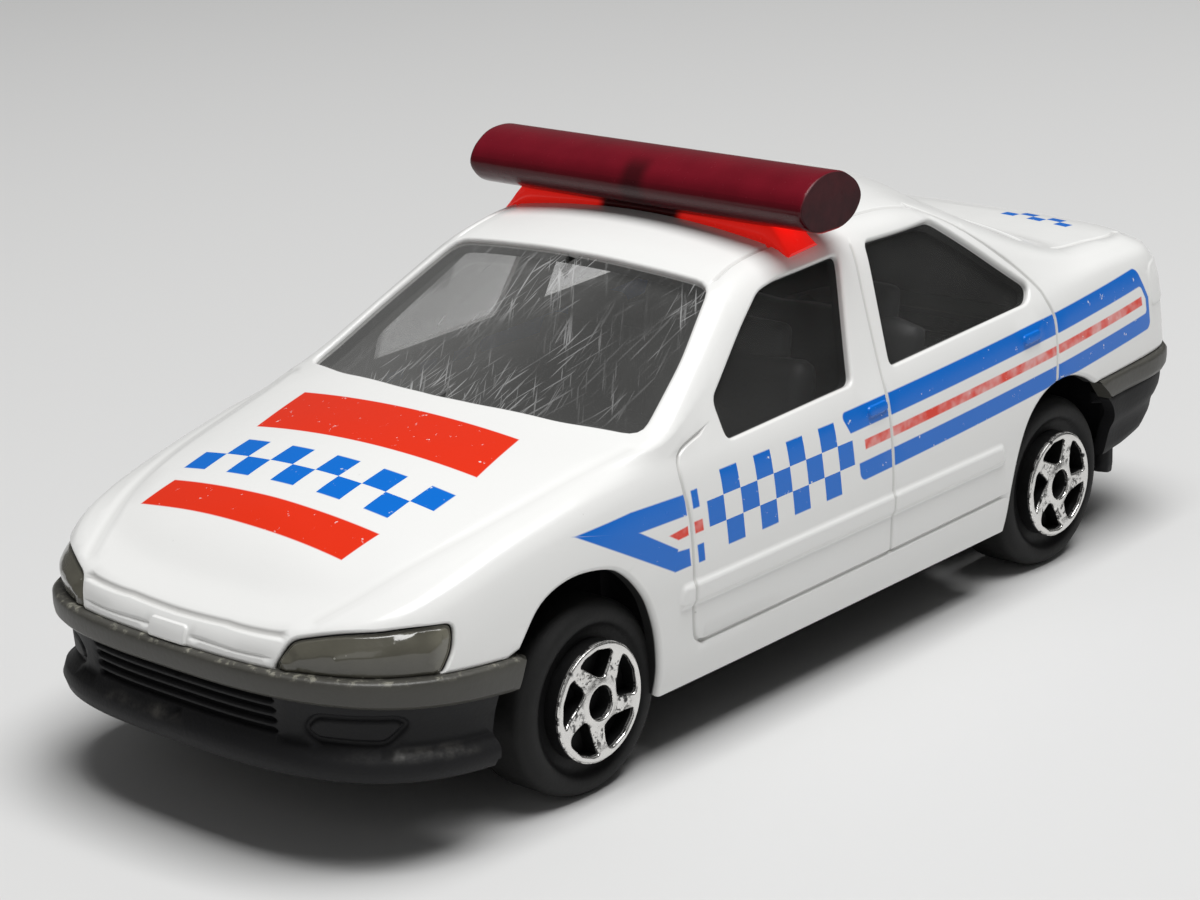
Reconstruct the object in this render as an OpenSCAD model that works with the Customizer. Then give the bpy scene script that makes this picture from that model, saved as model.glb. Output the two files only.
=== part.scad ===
// Toy police car: a die-cast saloon body riveted to a plastic base, with a clear
// window insert, smoked headlamp lenses, rolling wheelsets and a roof light bar.
// +X points to the nose, +Y to the car's left, +Z up. The wheels stand on z = 0.

/* [Overall] */
// Length over the two bumper strips
overall_len = 78; // [74:0.5:82]
// Width over the flanks
body_w = 30.6; // [29.6:0.1:32]
// Height of the roof's crown
roof_h = 26.3; // [25:0.1:28]
// Height of the sill's lower edge
sill_h = 4.2; // [3.8:0.1:4.6]
// Height of the belt line, under the side windows
belt_h = 16.9; // [16:0.1:17.8]
// Height of the bonnet at the foot of the windscreen
cowl_h = 18.7; // [18:0.1:19.4]
// Height of the nose at the front of the bonnet
nose_h = 12.3; // [11.8:0.1:12.8]
// Height of the boot's deck
deck_h = 19.7; // [19:0.1:20.4]
// Thickness of the cast body's wall
wall = 1; // [0.8:0.05:1.2]

/* [Cabin] */
// Foot of the windscreen, from the middle of the car
cowl_x = 15.6; // [14.6:0.1:16.6]
// Front edge of the roof
header_x = 5.2; // [4:0.1:6.4]
// Middle of the pillar between the side windows
pillar_x = -4.4; // [-5.4:0.1:-3.4]
// Rear edge of the roof
rear_header_x = -13; // [-14:0.1:-12]
// Foot of the rear window
backlight_x = -25; // [-26:0.1:-24]
// Thickness of the window insert
glass_t = 0.8; // [0.6:0.05:1]
// Space between the body's wall and the window insert
glass_gap = 0.05; // [0.03:0.01:0.1]
// Height of the interior's side panels, which carry the window insert
panel_h = 15.6; // [15:0.1:16]

/* [Running gear] */
// Front axle, from the middle of the car
front_axle_x = 21.5; // [20.5:0.1:22.5]
// Distance between the axles
wheelbase = 44; // [43:0.1:45]
// Distance over the faces of the wheels
track_w = 29.6; // [29:0.1:30]
// Diameter of the tyre
tyre_d = 10.9; // [10.4:0.1:11.2]
// Width of the tyre
tyre_w = 4.4; // [4:0.1:4.8]
// Diameter of the bright wheel face
rim_d = 6.7; // [6.2:0.1:7.2]
// Diameter of the open hub in the wheel face
hub_hole_d = 1.9; // [1.6:0.05:2.2]
// Thickness of the bright foil on the wheel face
foil_t = 0.12; // [0.08:0.01:0.2]
// Diameter of the axle
axle_d = 1.2; // [1:0.05:1.5]
// Radial running clearance of the axle in its bearings
axle_clear = 0.06; // [0.03:0.01:0.1]
// Radial space from the tyre to the wheel arch
arch_gap = 0.75; // [0.65:0.05:1]

/* [Base] */
// Height of the base's underside
base_z = 3.2; // [2.9:0.1:3.5]
// Thickness of the base's floor
floor_t = 1.2; // [1:0.1:1.5]
// Diameter of the body's rivet posts
post_d = 4.4; // [4:0.1:5]
// Diameter of a rivet's shank, through the base
shank_d = 2.4; // [2:0.1:2.8]
// Diameter of a spun rivet head
head_d = 3.8; // [3.4:0.1:4.2]

/* [Bumpers] */
// Height of a bumper strip
strip_h = 1.7; // [1.4:0.1:2]
// How far a strip stands out from the body
strip_proud = 0.5; // [0.3:0.05:0.7]
// Height of the front strip's upper edge, at its ends
strip_front_z = 10; // [9.6:0.1:10.4]
// Height of the rear strip's upper edge
strip_rear_z = 11.5; // [11:0.1:12]
// Upward slope of the front strip towards the nose, in degrees
strip_tilt = 4.8; // [3:0.1:6]
// Depth of the front bumper, from the strip's upper edge down to its lip
chin_drop = 5.6; // [5.2:0.1:6]
// Height of the rolled lip under the front bumper
lip_h = 1.5; // [1.2:0.1:1.8]

/* [Light bar] */
// Length of the bar, across the roof
bar_len = 25.6; // [23:0.1:27]
// Depth of the bar, along the car
bar_d = 5; // [4.5:0.1:5.5]
// Height of the bar's section
bar_h = 3.3; // [3:0.1:3.6]
// Distance from the roof's crown up to the bar's middle
bar_rise = 1.75; // [1.6:0.05:1.9]
// Diameter of the peg that holds the bar in the roof
peg_d = 2.4; // [2:0.1:2.8]

/* [Hidden] */
half_w = body_w / 2;
nose_x = overall_len / 2 - strip_proud;
tail_x = strip_proud - overall_len / 2;
rear_axle_x = front_axle_x - wheelbase;
axle_z = tyre_d / 2;
arch_r = tyre_d / 2 + arch_gap;
cap_f = front_axle_x + 5.5;
cap_r = rear_axle_x - 7.5;
floor_z = base_z + floor_t;
tyre_y = track_w / 2 - 0.6;
wheel_in = tyre_y - tyre_w;
seat_z = panel_h;
eps = 0.01;
// exponents of the rounded nose and tail, seen from above
p_f = 3;
p_r = 4;
n_cap = 7;
$fn = 48;

function mix(a, b, t) = a + (b - a) * t;
function steps(a, b, n) = [for (i = [0 : n - 1]) mix(a, b, i / n)];

// stations along the flank, from the nose cap to the tail cap
side_x = concat(steps(cap_f, cowl_x + 1, 5), steps(cowl_x + 1, header_x, 6),
    steps(header_x, rear_header_x, 7), steps(rear_header_x, backlight_x, 5),
    steps(backlight_x, cap_r, 3), [cap_r]);
cols = concat([for (i = [0 : n_cap - 1]) [0, 90 * i / n_cap]],
    [for (x = side_x) [1, x]],
    [for (i = [1 : n_cap]) [2, 90 - 90 * i / n_cap]]);
last_i = len(cols) - 1;
cowl_i = n_cap + 5;
header_i = n_cap + 11;
backlight_i = n_cap + 23;

// heights of the top along the middle of the car
top_keys = [[nose_x, nose_h], [nose_x - 0.9, nose_h + 0.8], [nose_x - 2.5, nose_h + 1.7],
    [nose_x - 5.5, nose_h + 3.2], [nose_x - 10.5, cowl_h - 1.6], [front_axle_x + 0.5, cowl_h - 0.5],
    [cowl_x + 1.6, cowl_h], [cowl_x, cowl_h + 0.5], [header_x + 0.4, roof_h - 1.5],
    [header_x - 1.2, roof_h - 0.9], [header_x - 4.2, roof_h - 0.4], [header_x - 9.2, roof_h],
    [rear_header_x + 4, roof_h], [rear_header_x, roof_h - 0.6], [rear_header_x - 1.6, roof_h - 1.3],
    [backlight_x, deck_h + 0.7], [backlight_x - 1.6, deck_h + 0.1], [tail_x + 6.6, deck_h],
    [tail_x + 2, deck_h - 0.2], [tail_x, deck_h - 0.9]];
// heights of the shoulder: wing edge, belt line and boot edge
shoulder_keys = [[nose_x, nose_h - 0.3], [nose_x - 2.5, nose_h + 0.8], [nose_x - 7.5, nose_h + 2.2],
    [cap_f, belt_h - 1.4], [front_axle_x - 1.5, belt_h - 0.1], [cowl_x - 1.6, belt_h + 0.1],
    [0, belt_h], [rear_header_x - 5, belt_h + 0.8], [backlight_x - 3, belt_h + 1.4],
    [tail_x + 2.6, belt_h + 1.2], [tail_x, belt_h + 0.7]];
// distance from the middle to the ridge: bonnet crease, screen pillar, roof rail, rear pillar
ridge_y_keys = [[nose_x, half_w - 3.9], [cap_f, half_w - 3.9], [front_axle_x - 1.5, half_w - 3.3],
    [cowl_x + 1, half_w - 1.7], [cowl_x - 1, half_w - 1.3], [header_x - 0.2, half_w - 4.3],
    [header_x - 2.2, half_w - 4.1], [header_x - 9.2, half_w - 3.8], [rear_header_x + 2, half_w - 4],
    [rear_header_x, half_w - 4.3], [backlight_x + 1, half_w - 2.8], [backlight_x - 2, half_w - 2.7],
    [tail_x, half_w - 2.9]];
// heights of the same ridge
ridge_z_keys = [[nose_x, nose_h - 0.1], [nose_x - 2.5, nose_h + 1], [nose_x - 7.5, nose_h + 2.8],
    [cap_f, cowl_h - 2.5], [front_axle_x - 1.5, cowl_h - 1.1], [cowl_x + 1, cowl_h - 0.8],
    [cowl_x - 1, cowl_h - 0.6], [header_x - 0.2, roof_h - 2.1], [header_x - 2.2, roof_h - 1.7],
    [header_x - 9.2, roof_h - 1.3], [rear_header_x + 2, roof_h - 1.4], [rear_header_x, roof_h - 1.8],
    [backlight_x + 1, deck_h + 0.1], [backlight_x - 2, deck_h - 0.5], [tail_x + 2.6, deck_h - 0.8],
    [tail_x, deck_h - 1.5]];
// half width along the car
half_keys = [[cap_f, half_w - 0.6], [front_axle_x - 1.5, half_w - 0.1], [front_axle_x - 11.5, half_w],
    [rear_axle_x, half_w], [cap_r, half_w - 0.3]];
// forward bow of the windscreen's foot and rearward bow of the rear window's foot
bow_keys = [[cap_f, 0], [cowl_x + 3, 1], [cowl_x, 1.9], [header_x, 0.6], [header_x - 4, 0],
    [rear_header_x + 3, 0], [rear_header_x, -0.5], [backlight_x, -1.5], [cap_r, 0]];
// rows of the flank: share of the height, inset from the half width, set-back of the ends
side_rows = [[0, 0.55, 1.2], [0.1, 0.2, 0.6], [0.18, 0.12, 0.4], [0.27, 0.05, 0.2], [0.42, 0, 0.1],
    [0.53, 0, 0], [0.62, 0.12, 0], [0.78, 0.3, 0.1], [0.92, 0.65, 0.3], [1, 1.1, 0.8]];
belt_j = len(side_rows) - 1;
ridge_j = belt_j + 3;
last_j = belt_j + 6;

// a point of the plan outline: nose cap, flank or tail cap
function plan_x(c, nose, tail) = c[0] == 1 ? c[1]
    : c[0] == 0 ? mix(cap_f, nose, pow(cos(c[1]), 2 / p_f))
    : mix(cap_r, tail, pow(cos(c[1]), 2 / p_r));
function plan_y(c, keys, inset) = c[0] == 1 ? lookup(c[1], keys) - inset
    : c[0] == 0 ? (lookup(cap_f, keys) - inset) * pow(sin(c[1]), 2 / p_f)
    : (lookup(cap_r, keys) - inset) * pow(sin(c[1]), 2 / p_r);

function flank_pt(c, r) = let (x = plan_x(c, nose_x - r[2], tail_x + r[2]))
    [x, plan_y(c, half_keys, r[1]), mix(sill_h, lookup(x, shoulder_keys), r[0])];
function ridge_pt(c) = let (x = plan_x(c, nose_x - 3.2, tail_x + 2.6))
    [x, plan_y(c, ridge_y_keys, 0), lookup(x, ridge_z_keys)];
function top_pt(c, q, g) = let (x = mix(q[0], plan_x(c, nose_x - 8.5, tail_x + 6.5), g))
    [x + lookup(q[0], bow_keys) * (1 - (1 - g) * (1 - g)), q[1] * (1 - g),
     lookup(x, top_keys) - (lookup(q[0], top_keys) - q[2]) * (1 - g) * (1 - g)];
// control points of one section, from the sill up to the middle of the car
function section(c) = let (q = ridge_pt(c), s = flank_pt(c, side_rows[belt_j]))
    concat([for (r = side_rows) flank_pt(c, r)], [mix(s, q, 0.3), mix(s, q, 0.65), q],
        [for (g = [0.2, 0.55, 1]) top_pt(c, q, g)]);
net = [for (c = cols) section(c)];

function flip(p) = [p[0], -p[1], p[2]];
// control point with mirrored neighbours beyond the car's middle plane
function ctl(i, j) = i < 0 ? flip(ctl(-i, j)) : i > last_i ? flip(ctl(2 * last_i - i, j))
    : j > last_j ? flip(ctl(i, 2 * last_j - j)) : j < 0 ? 2 * net[i][0] - net[i][1] : net[i][j];
function rail(i, j) = (ctl(i - 1, j) + 4 * ctl(i, j) + ctl(i + 1, j)) / 6;
// smooth surface point (cubic B-spline) above a control point
skin_pts = [for (i = [0 : last_i]) [for (j = [0 : last_j])
    (rail(i, j - 1) + 4 * rail(i, j) + rail(i, j + 1)) / 6]];
function srf(i, j) = i < 0 ? flip(srf(-i, j)) : i > last_i ? flip(srf(2 * last_i - i, j))
    : j > last_j ? flip(srf(i, 2 * last_j - j)) : j < 0 ? 2 * skin_pts[i][0] - skin_pts[i][1] : skin_pts[i][j];
post_front = skin_pts[0][last_j];
post_rear = skin_pts[last_i][last_j];
function unit(v) = norm(v) < eps * eps ? [0, 0, -1] : v / norm(v);
// surface point moved inwards by d
function inset_pt(i, j, d) = srf(i, j)
    + d * unit(cross(srf(i, j + 1) - srf(i, j - 1), srf(i + 1, j) - srf(i - 1, j)));
function level(p, z) = is_undef(z) ? p : [p[0], p[1], z];
// one section right across the car, from the left edge row over the top to the right edge row
function across(i, j0, d, z) = let (h = [for (j = [j0 : last_j]) level(inset_pt(i, j, d), j == j0 ? z : undef)])
    concat(h, [for (k = [last_j - j0 - 1 : -1 : 0]) flip(h[k])]);

// sheet of the car's skin between two depths, from section i0 to i1 and from row j0 over the top
module sheet(i0, i1, j0, d_out, d_in, z_out, z_in) {
    ends = i0 == 0 && i1 == last_i;
    n = 2 * (last_j - j0) + 1;
    m = i1 - i0 + 1;
    pts = concat([for (i = [i0 : i1]) each across(i, j0, d_out, z_out)],
        [for (i = [i0 : i1]) each across(i, j0, d_in, z_in)]);
    // at the nose and the tail the left and right halves share their points
    function id(s, a, k) = s * m * n + a * n + (ends && (a == 0 || a == m - 1) && k > (n - 1) / 2 ? n - 1 - k : k);
    function tri(a, b, c) = a == b || b == c || c == a ? [] : [[a, b, c]];
    function cell(s, a, k) = let (p = id(s, a, k), q = id(s, a + 1, k), r = id(s, a + 1, k + 1), t = id(s, a, k + 1))
        s == 1 ? concat(tri(p, q, r), tri(p, r, t)) : concat(tri(p, r, q), tri(p, t, r));
    faces_sheet = [for (s = [0, 1], a = [0 : m - 2], k = [0 : n - 2]) each cell(s, a, k)];
    rim_low = [for (a = [0 : m - 2]) each concat(
        tri(id(0, a, 0), id(1, a + 1, 0), id(1, a, 0)), tri(id(0, a, 0), id(0, a + 1, 0), id(1, a + 1, 0)),
        tri(id(0, a, n - 1), id(1, a, n - 1), id(1, a + 1, n - 1)),
        tri(id(0, a, n - 1), id(1, a + 1, n - 1), id(0, a + 1, n - 1)))];
    rim_end = ends ? [] : [for (k = [0 : n - 2]) each concat(
        tri(id(0, 0, k), id(1, 0, k), id(1, 0, k + 1)), tri(id(0, 0, k), id(1, 0, k + 1), id(0, 0, k + 1)),
        tri(id(0, m - 1, k), id(1, m - 1, k + 1), id(1, m - 1, k)),
        tri(id(0, m - 1, k), id(0, m - 1, k + 1), id(1, m - 1, k + 1)))];
    polyhedron(pts, concat(faces_sheet, rim_low, rim_end), convexity = 6);
}

// plan outlines of the nose and the tail, from the left round to the right
function ring_pt(c, d) = [plan_x(c, nose_x - d, tail_x + d), plan_y(c, half_keys, d)];
function round_plan(side, x, d) = let (h = concat([ring_pt([1, x], d)], [for (i = [10 : -1 : 0]) ring_pt([side, 9 * i], d)]))
    concat(h, [for (k = [10 : -1 : 0]) [h[k][0], -h[k][1]]]);
function nose_plan(d) = round_plan(0, cap_f - 2.5, d);
function tail_plan(d) = round_plan(2, cap_r + 4, d);
function back(v) = [for (k = [len(v) - 1 : -1 : 0]) v[k]];
module nose_ring(d0, d1) {
    polygon(concat(nose_plan(d0), back(nose_plan(d1))));
}
module tail_ring(d0, d1) {
    polygon(concat(tail_plan(d0), back(tail_plan(d1))));
}

// space under (or over) the sloping plane at height z, ahead of the front wheels
module nose_space(z, above) {
    translate([cap_f, 0, z])
        rotate([0, -strip_tilt, 0])
            translate([-4, -half_w - 5, above ? 0 : -20])
                cube([30, body_w + 10, 20]);
}

// wheel arches, from just inside the wheels outwards
module arches(extra) {
    y_in = wheel_in - 0.5;
    y_out = half_w + 2;
    for (x = [front_axle_x + 0.3, rear_axle_x - 0.3], s = [-1, 1])
        translate([x, s * (y_in + y_out) / 2, axle_z + 0.35])
            rotate([90, 0, 0])
                cylinder(r = arch_r + extra, h = y_out - y_in, center = true, $fn = 64);
}

// outlines of the side windows, seen from the side
front_window = [[cowl_x - 6.4, belt_h], [cowl_x - 6.2, belt_h + 2.2], [header_x - 2, roof_h - 3],
    [header_x - 3.3, roof_h - 2.7], [pillar_x + 1.3, roof_h - 2.4], [pillar_x + 2.3, belt_h + 0.2]];
rear_window = [[pillar_x - 1.2, belt_h + 0.5], [pillar_x - 2.1, roof_h - 2.3], [rear_header_x - 0.7, roof_h - 2.6],
    [rear_header_x - 3.8, roof_h - 5.2], [rear_header_x - 7, belt_h + 1.7], [rear_header_x - 6.5, belt_h + 1.1]];
screen_slope = atan2(roof_h - cowl_h - 2, cowl_x - header_x - 0.4);
back_slope = atan2(roof_h - deck_h - 2, rear_header_x - backlight_x - 1.6);

module side_window_cuts() {
    for (w = [front_window, rear_window])
        rotate([90, 0, 0])
            translate([0, 0, -half_w - 1])
                linear_extrude(body_w + 2)
                    polygon(w);
}

// windscreen outline: distance up the slope from its foot, distance from the middle
module windscreen_cut() {
    w = half_w - 2.9;
    up = (cowl_x - header_x) / cos(screen_slope) - 0.3;
    translate([cowl_x, 0, cowl_h + 0.3])
        rotate([0, 0, 180])
            rotate([0, -screen_slope, 0])
                translate([0, 0, -3])
                    linear_extrude(5)
                        polygon([[-1.7, 0], [-1.1, w * 0.58], [0.6, w], [up, w - 2.9], [up + 0.4, 0],
                            [up, 2.9 - w], [0.6, -w], [-1.1, -w * 0.58]]);
}

module rear_window_cut() {
    w = half_w - 4.2;
    up = (rear_header_x - backlight_x) / cos(back_slope) - 1.6;
    translate([backlight_x, 0, deck_h + 0.3])
        rotate([0, -back_slope, 0])
            translate([0, 0, -3])
                linear_extrude(5)
                    polygon([[-0.8, 0], [0.8, w], [up, w - 1.6], [up, 1.6 - w], [0.8, -w]]);
}

// headlamp opening on the left, looking along the corner of the nose
lamp_outline = [[-5.7, -1.4], [-4.2, 0.3], [-0.4, 0.7], [3.2, 0.5], [3.1, -0.5], [2.2, -3], [-5.7, -3]];
module lamp_space() {
    translate([nose_x - 4, half_w - 2.8, nose_h])
        rotate([0, 0, 42])
            rotate([90, 0, 90])
                translate([0, 0, -3])
                    linear_extrude(8)
                        polygon(lamp_outline);
}

bar_x = mix(header_x, rear_header_x, 2.5 / 7);
roof_bar_z = lookup(bar_x, top_keys);

module rivet_post(p) {
    translate([p[0], 0, floor_z])
        cylinder(d = post_d, h = p[2] - wall - floor_z);
    translate([p[0], 0, base_z + 0.1])
        cylinder(d = shank_d, h = floor_t);
    translate([p[0], 0, base_z + 0.1])
        cylinder(d = head_d, h = 0.5);
}

module body_shell() {
    color([0.93, 0.93, 0.92]) {
        difference() {
            sheet(0, last_i, 0, 0, wall, sill_h, sill_h);
            arches(0);
            nose_space(strip_front_z, false);
            translate([tail_x - 2, -half_w - 2, 0])
                cube([rear_axle_x - 2.8 - tail_x + 2, body_w + 4, strip_rear_z]);
            side_window_cuts();
            windscreen_cut();
            rear_window_cut();
            lamp_space();
            mirror([0, 1, 0])
                lamp_space();
            translate([bar_x, 0, roof_h - 5])
                cylinder(d = peg_d + 0.1, h = 8);
        }
        rivet_post(post_front);
        rivet_post(post_rear);
    }
}

module base_plate() {
    color([0.06, 0.06, 0.065])
        difference() {
            union() {
                // floor, narrow between the wheels
                translate([rear_axle_x + arch_r + 0.6, 1.9 - half_w, base_z])
                    cube([wheelbase - 2 * arch_r - 1.2, body_w - 3.8, floor_t]);
                translate([tail_x + 3.5, 0.6 - wheel_in, base_z])
                    cube([nose_x - tail_x - 10.5, 2 * wheel_in - 1.2, floor_t]);
                // lower front bumper and its rolled lip, both parallel to the strip
                intersection() {
                    translate([0, 0, base_z])
                        linear_extrude(strip_front_z)
                            nose_ring(0.6, 2.4);
                    nose_space(strip_front_z - chin_drop, true);
                }
                intersection() {
                    translate([0, 0, base_z])
                        linear_extrude(strip_front_z)
                            nose_ring(0, 6);
                    nose_space(strip_front_z - chin_drop, true);
                    nose_space(strip_front_z - chin_drop + lip_h, false);
                }
                // web that carries the lip on the floor
                translate([cap_f, 0.6 - wheel_in, floor_z - 0.2])
                    cube([nose_x - cap_f - 5, 2 * wheel_in - 1.2, lip_h]);
                // lower rear bumper
                translate([0, 0, base_z + 2])
                    linear_extrude(strip_rear_z - strip_h - base_z - 2)
                        tail_ring(0.2, 2.6);
                translate([0, 0, floor_z - 0.2])
                    linear_extrude(1.8)
                        tail_ring(1.6, 7);
                // bearing lugs of the axles
                for (x = [front_axle_x, rear_axle_x], s = [-1, 1])
                    translate([x - 1.7, s * (wheel_in - 2) - 1.1, base_z])
                        cube([3.4, 2.2, axle_z + 1.5 - base_z]);
            }
            nose_space(strip_front_z - strip_h, true);
            arches(0.15);
            // undercut of the rear bumper
            translate([tail_x, -half_w, base_z + 5])
                rotate([0, -45, 0])
                    translate([-10, 0, -10])
                        cube([10, body_w, 20]);
            for (x = [front_axle_x, rear_axle_x])
                translate([x, 0, axle_z])
                    rotate([90, 0, 0])
                        cylinder(r = axle_d / 2 + axle_clear, h = body_w, center = true);
            // rivet holes with recesses for the spun heads and room for the posts
            for (x = [post_front[0], post_rear[0]]) {
                translate([x, 0, base_z - 1])
                    cylinder(d = shank_d + 0.1, h = floor_t + 2);
                translate([x, 0, base_z - 1])
                    cylinder(d = head_d + 0.3, h = 1.6);
                translate([x, 0, floor_z])
                    cylinder(d = post_d + 0.6, h = strip_rear_z);
            }
            // slots between the bars of the grille, then the lamp recesses
            intersection() {
                for (k = [0 : 1])
                    translate([0, 0, strip_front_z - chin_drop + lip_h + 1.3 + k * 0.9])
                        linear_extrude(0.45)
                            nose_ring(-1, 1.2);
                translate([cap_f, 8 - half_w, 0])
                    cube([20, body_w - 16, 12]);
            }
            for (s = [-1, 1])
                translate([nose_x - 5.2, s * (half_w - 4.1), strip_front_z - chin_drop + lip_h + 0.9])
                    rotate([0, 0, s * 40])
                        translate([1.5, -1.7, 0])
                            cube([4, 3.4, 1.2]);
        }
}

module front_bumper_strip() {
    color([0.2, 0.2, 0.19])
        difference() {
            intersection() {
                translate([0, 0, base_z])
                    linear_extrude(14)
                        nose_ring(-strip_proud, 1.2);
                nose_space(strip_front_z - strip_h, true);
            }
            nose_space(strip_front_z, true);
            arches(0.15);
        }
}

module rear_bumper_strip() {
    color([0.2, 0.2, 0.19])
        difference() {
            translate([0, 0, strip_rear_z - strip_h])
                linear_extrude(strip_h)
                    tail_ring(-strip_proud, 1.2);
            arches(0.15);
        }
}

module window_insert() {
    color([0.45, 0.46, 0.47, 0.45])
        difference() {
            sheet(cowl_i - 1, backlight_i + 1, belt_j, wall + glass_gap, wall + glass_gap + glass_t, seat_z, seat_z);
            translate([bar_x, 0, roof_h - 5])
                cylinder(d = peg_d + 0.4, h = 8);
        }
}

module lamp_lens() {
    color([0.5, 0.5, 0.48])
        difference() {
            intersection() {
                sheet(0, last_i, 0, 0.1, wall + 0.6, sill_h, sill_h);
                lamp_space();
            }
            nose_space(strip_front_z, false);
        }
}

module headlamp_lens_left() {
    lamp_lens();
}

module headlamp_lens_right() {
    mirror([0, 1, 0])
        lamp_lens();
}

// a seat facing the nose: cushion, back and head rest
module seat(x, y, w) {
    translate([x, y - w / 2, floor_z + 0.8])
        cube([6.5, w, 4]);
    translate([x, y, floor_z + 2])
        rotate([0, -14, 0])
            translate([-1.8, 0.3 - w / 2, 0])
                cube([2, w - 0.6, 11.5]);
    translate([x - 4.2, y - w / 4, floor_z + 12.5])
        cube([1.3, w / 2, 2.9]);
}

module interior_tub() {
    in_w = body_w - 2 * wall - 3.2;
    x0 = rear_axle_x + arch_r + 1;
    x1 = front_axle_x - arch_r - 1;
    color([0.05, 0.05, 0.055]) {
        translate([x0, -in_w / 2, floor_z])
            cube([x1 - x0, in_w, 1]);
        // side panels, front and rear walls
        for (s = [0, 1])
            mirror([0, s, 0])
                translate([x0, in_w / 2 - 1, floor_z])
                    cube([x1 - x0, 1, panel_h - floor_z]);
        translate([x1 - 1, -in_w / 2, floor_z])
            cube([1, in_w, panel_h - floor_z]);
        translate([x0, -in_w / 2, floor_z])
            cube([1, in_w, panel_h - floor_z]);
        // dashboard, then the steering column and wheel on the left
        translate([x1 - 4, -in_w / 2, panel_h - 4])
            cube([4, in_w, 4]);
        translate([x1 - 5.9, in_w / 4, panel_h - 1])
            rotate([0, -62, 0]) {
                cylinder(d = 4.6, h = 0.6, $fn = 32);
                translate([0, 0, -3.2])
                    cylinder(d = 1, h = 3.4, $fn = 24);
            }
        seat(0.6, in_w / 4, 8.6);
        seat(0.6, -in_w / 4, 8.6);
        seat(x0 + 5.4, 0, in_w - 3);
    }
}

module light_bar() {
    color([0.55, 0.03, 0.05])
        difference() {
            union() {
                translate([bar_x, 0, roof_bar_z + bar_rise])
                    rotate([90, 0, 0])
                        linear_extrude(bar_len, center = true)
                            polygon([for (a = [0 : 12 : 348]) [bar_d / 2 * cos(a), bar_h / 2 * sin(a)]]);
                // foot along the roof
                sheet(header_i + 2, header_i + 3, ridge_j, -0.5, 0);
                translate([bar_x, 0, roof_h - wall - glass_t - 1])
                    cylinder(d = peg_d, h = wall + glass_t + 1.5);
            }
        }
}

module axle(x) {
    color([0.72, 0.72, 0.73])
        translate([x, 0, axle_z])
            rotate([90, 0, 0])
                cylinder(d = axle_d, h = track_w - 3.6, center = true, $fn = 32);
}

module front_axle() {
    axle(front_axle_x);
}

module rear_axle() {
    axle(rear_axle_x);
}

// one gap between two spokes of the wheel face: angle and share of the rim's radius
gap_half = [[0, 0.44], [20, 0.46], [26, 0.62], [27.5, 0.78], [22, 0.83], [11, 0.835]];
function polar(r, a) = r * [cos(a), sin(a)];
module spoke_gap() {
    r = rim_d / 2;
    polygon(concat([for (q = gap_half) polar(r * q[1], q[0])], [polar(r * 0.835, 0)],
        [for (k = [len(gap_half) - 1 : -1 : 1]) polar(r * gap_half[k][1], -gap_half[k][0])]));
}

module spoke_gaps() {
    for (k = [0 : 4])
        rotate(56 + 72 * k)
            spoke_gap();
}

// wheel on its own axis, its face towards +Z; the face of the foil is at z = 0
module wheel_body() {
    r = tyre_d / 2;
    rr = rim_d / 2;
    color([0.05, 0.05, 0.05])
        difference() {
            rotate_extrude($fn = 64)
                polygon([[0, -0.6 - tyre_w + 0.6], [r - 1.6, -tyre_w], [r - 1.2, -0.6 - tyre_w], [r - 0.5, -0.6 - tyre_w],
                    [r, -tyre_w], [r, -1.2], [r - 0.5, -0.6], [r - 1.1, -0.6], [rr + 0.35, -1], [rr, -1],
                    [rr, -foil_t], [0, -foil_t]]);
            translate([0, 0, -1.1])
                linear_extrude(2)
                    spoke_gaps();
            translate([0, 0, -0.9])
                cylinder(d = hub_hole_d, h = 2, $fn = 32);
            translate([0, 0, -2 - tyre_w])
                cylinder(d = axle_d, h = tyre_w + 0.2, $fn = 32);
        }
}

module foil_body() {
    color([0.82, 0.82, 0.83])
        translate([0, 0, -foil_t])
            linear_extrude(foil_t)
                difference() {
                    circle(d = rim_d, $fn = 64);
                    spoke_gaps();
                    circle(d = hub_hole_d, $fn = 32);
                }
}

// puts a wheel piece on an axle, on the left (s = 1) or the right (s = -1)
module at_wheel(x, s) {
    translate([x, s * track_w / 2, axle_z])
        rotate([-90 * s, 0, 0])
            children();
}

module wheel_front_left() {
    at_wheel(front_axle_x, 1)
        wheel_body();
}

module wheel_front_right() {
    at_wheel(front_axle_x, -1)
        wheel_body();
}

module wheel_rear_left() {
    at_wheel(rear_axle_x, 1)
        wheel_body();
}

module wheel_rear_right() {
    at_wheel(rear_axle_x, -1)
        wheel_body();
}

module rim_foil_front_left() {
    at_wheel(front_axle_x, 1)
        foil_body();
}

module rim_foil_front_right() {
    at_wheel(front_axle_x, -1)
        foil_body();
}

module rim_foil_rear_left() {
    at_wheel(rear_axle_x, 1)
        foil_body();
}

module rim_foil_rear_right() {
    at_wheel(rear_axle_x, -1)
        foil_body();
}

body_shell();
base_plate();
front_bumper_strip();
rear_bumper_strip();
window_insert();
headlamp_lens_left();
headlamp_lens_right();
interior_tub();
light_bar();
front_axle();
rear_axle();
wheel_front_left();
wheel_front_right();
wheel_rear_left();
wheel_rear_right();
rim_foil_front_left();
rim_foil_front_right();
rim_foil_rear_left();
rim_foil_rear_right();
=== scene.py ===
"""Toy police car: the looks of a pocket die-cast saloon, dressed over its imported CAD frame."""
import math

import bpy
import numpy as np
from bpy.props import FloatProperty, FloatVectorProperty, PointerProperty
from mathutils import Matrix, Vector
from mathutils.geometry import delaunay_2d_cdt
from mathutils.kdtree import KDTree


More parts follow.
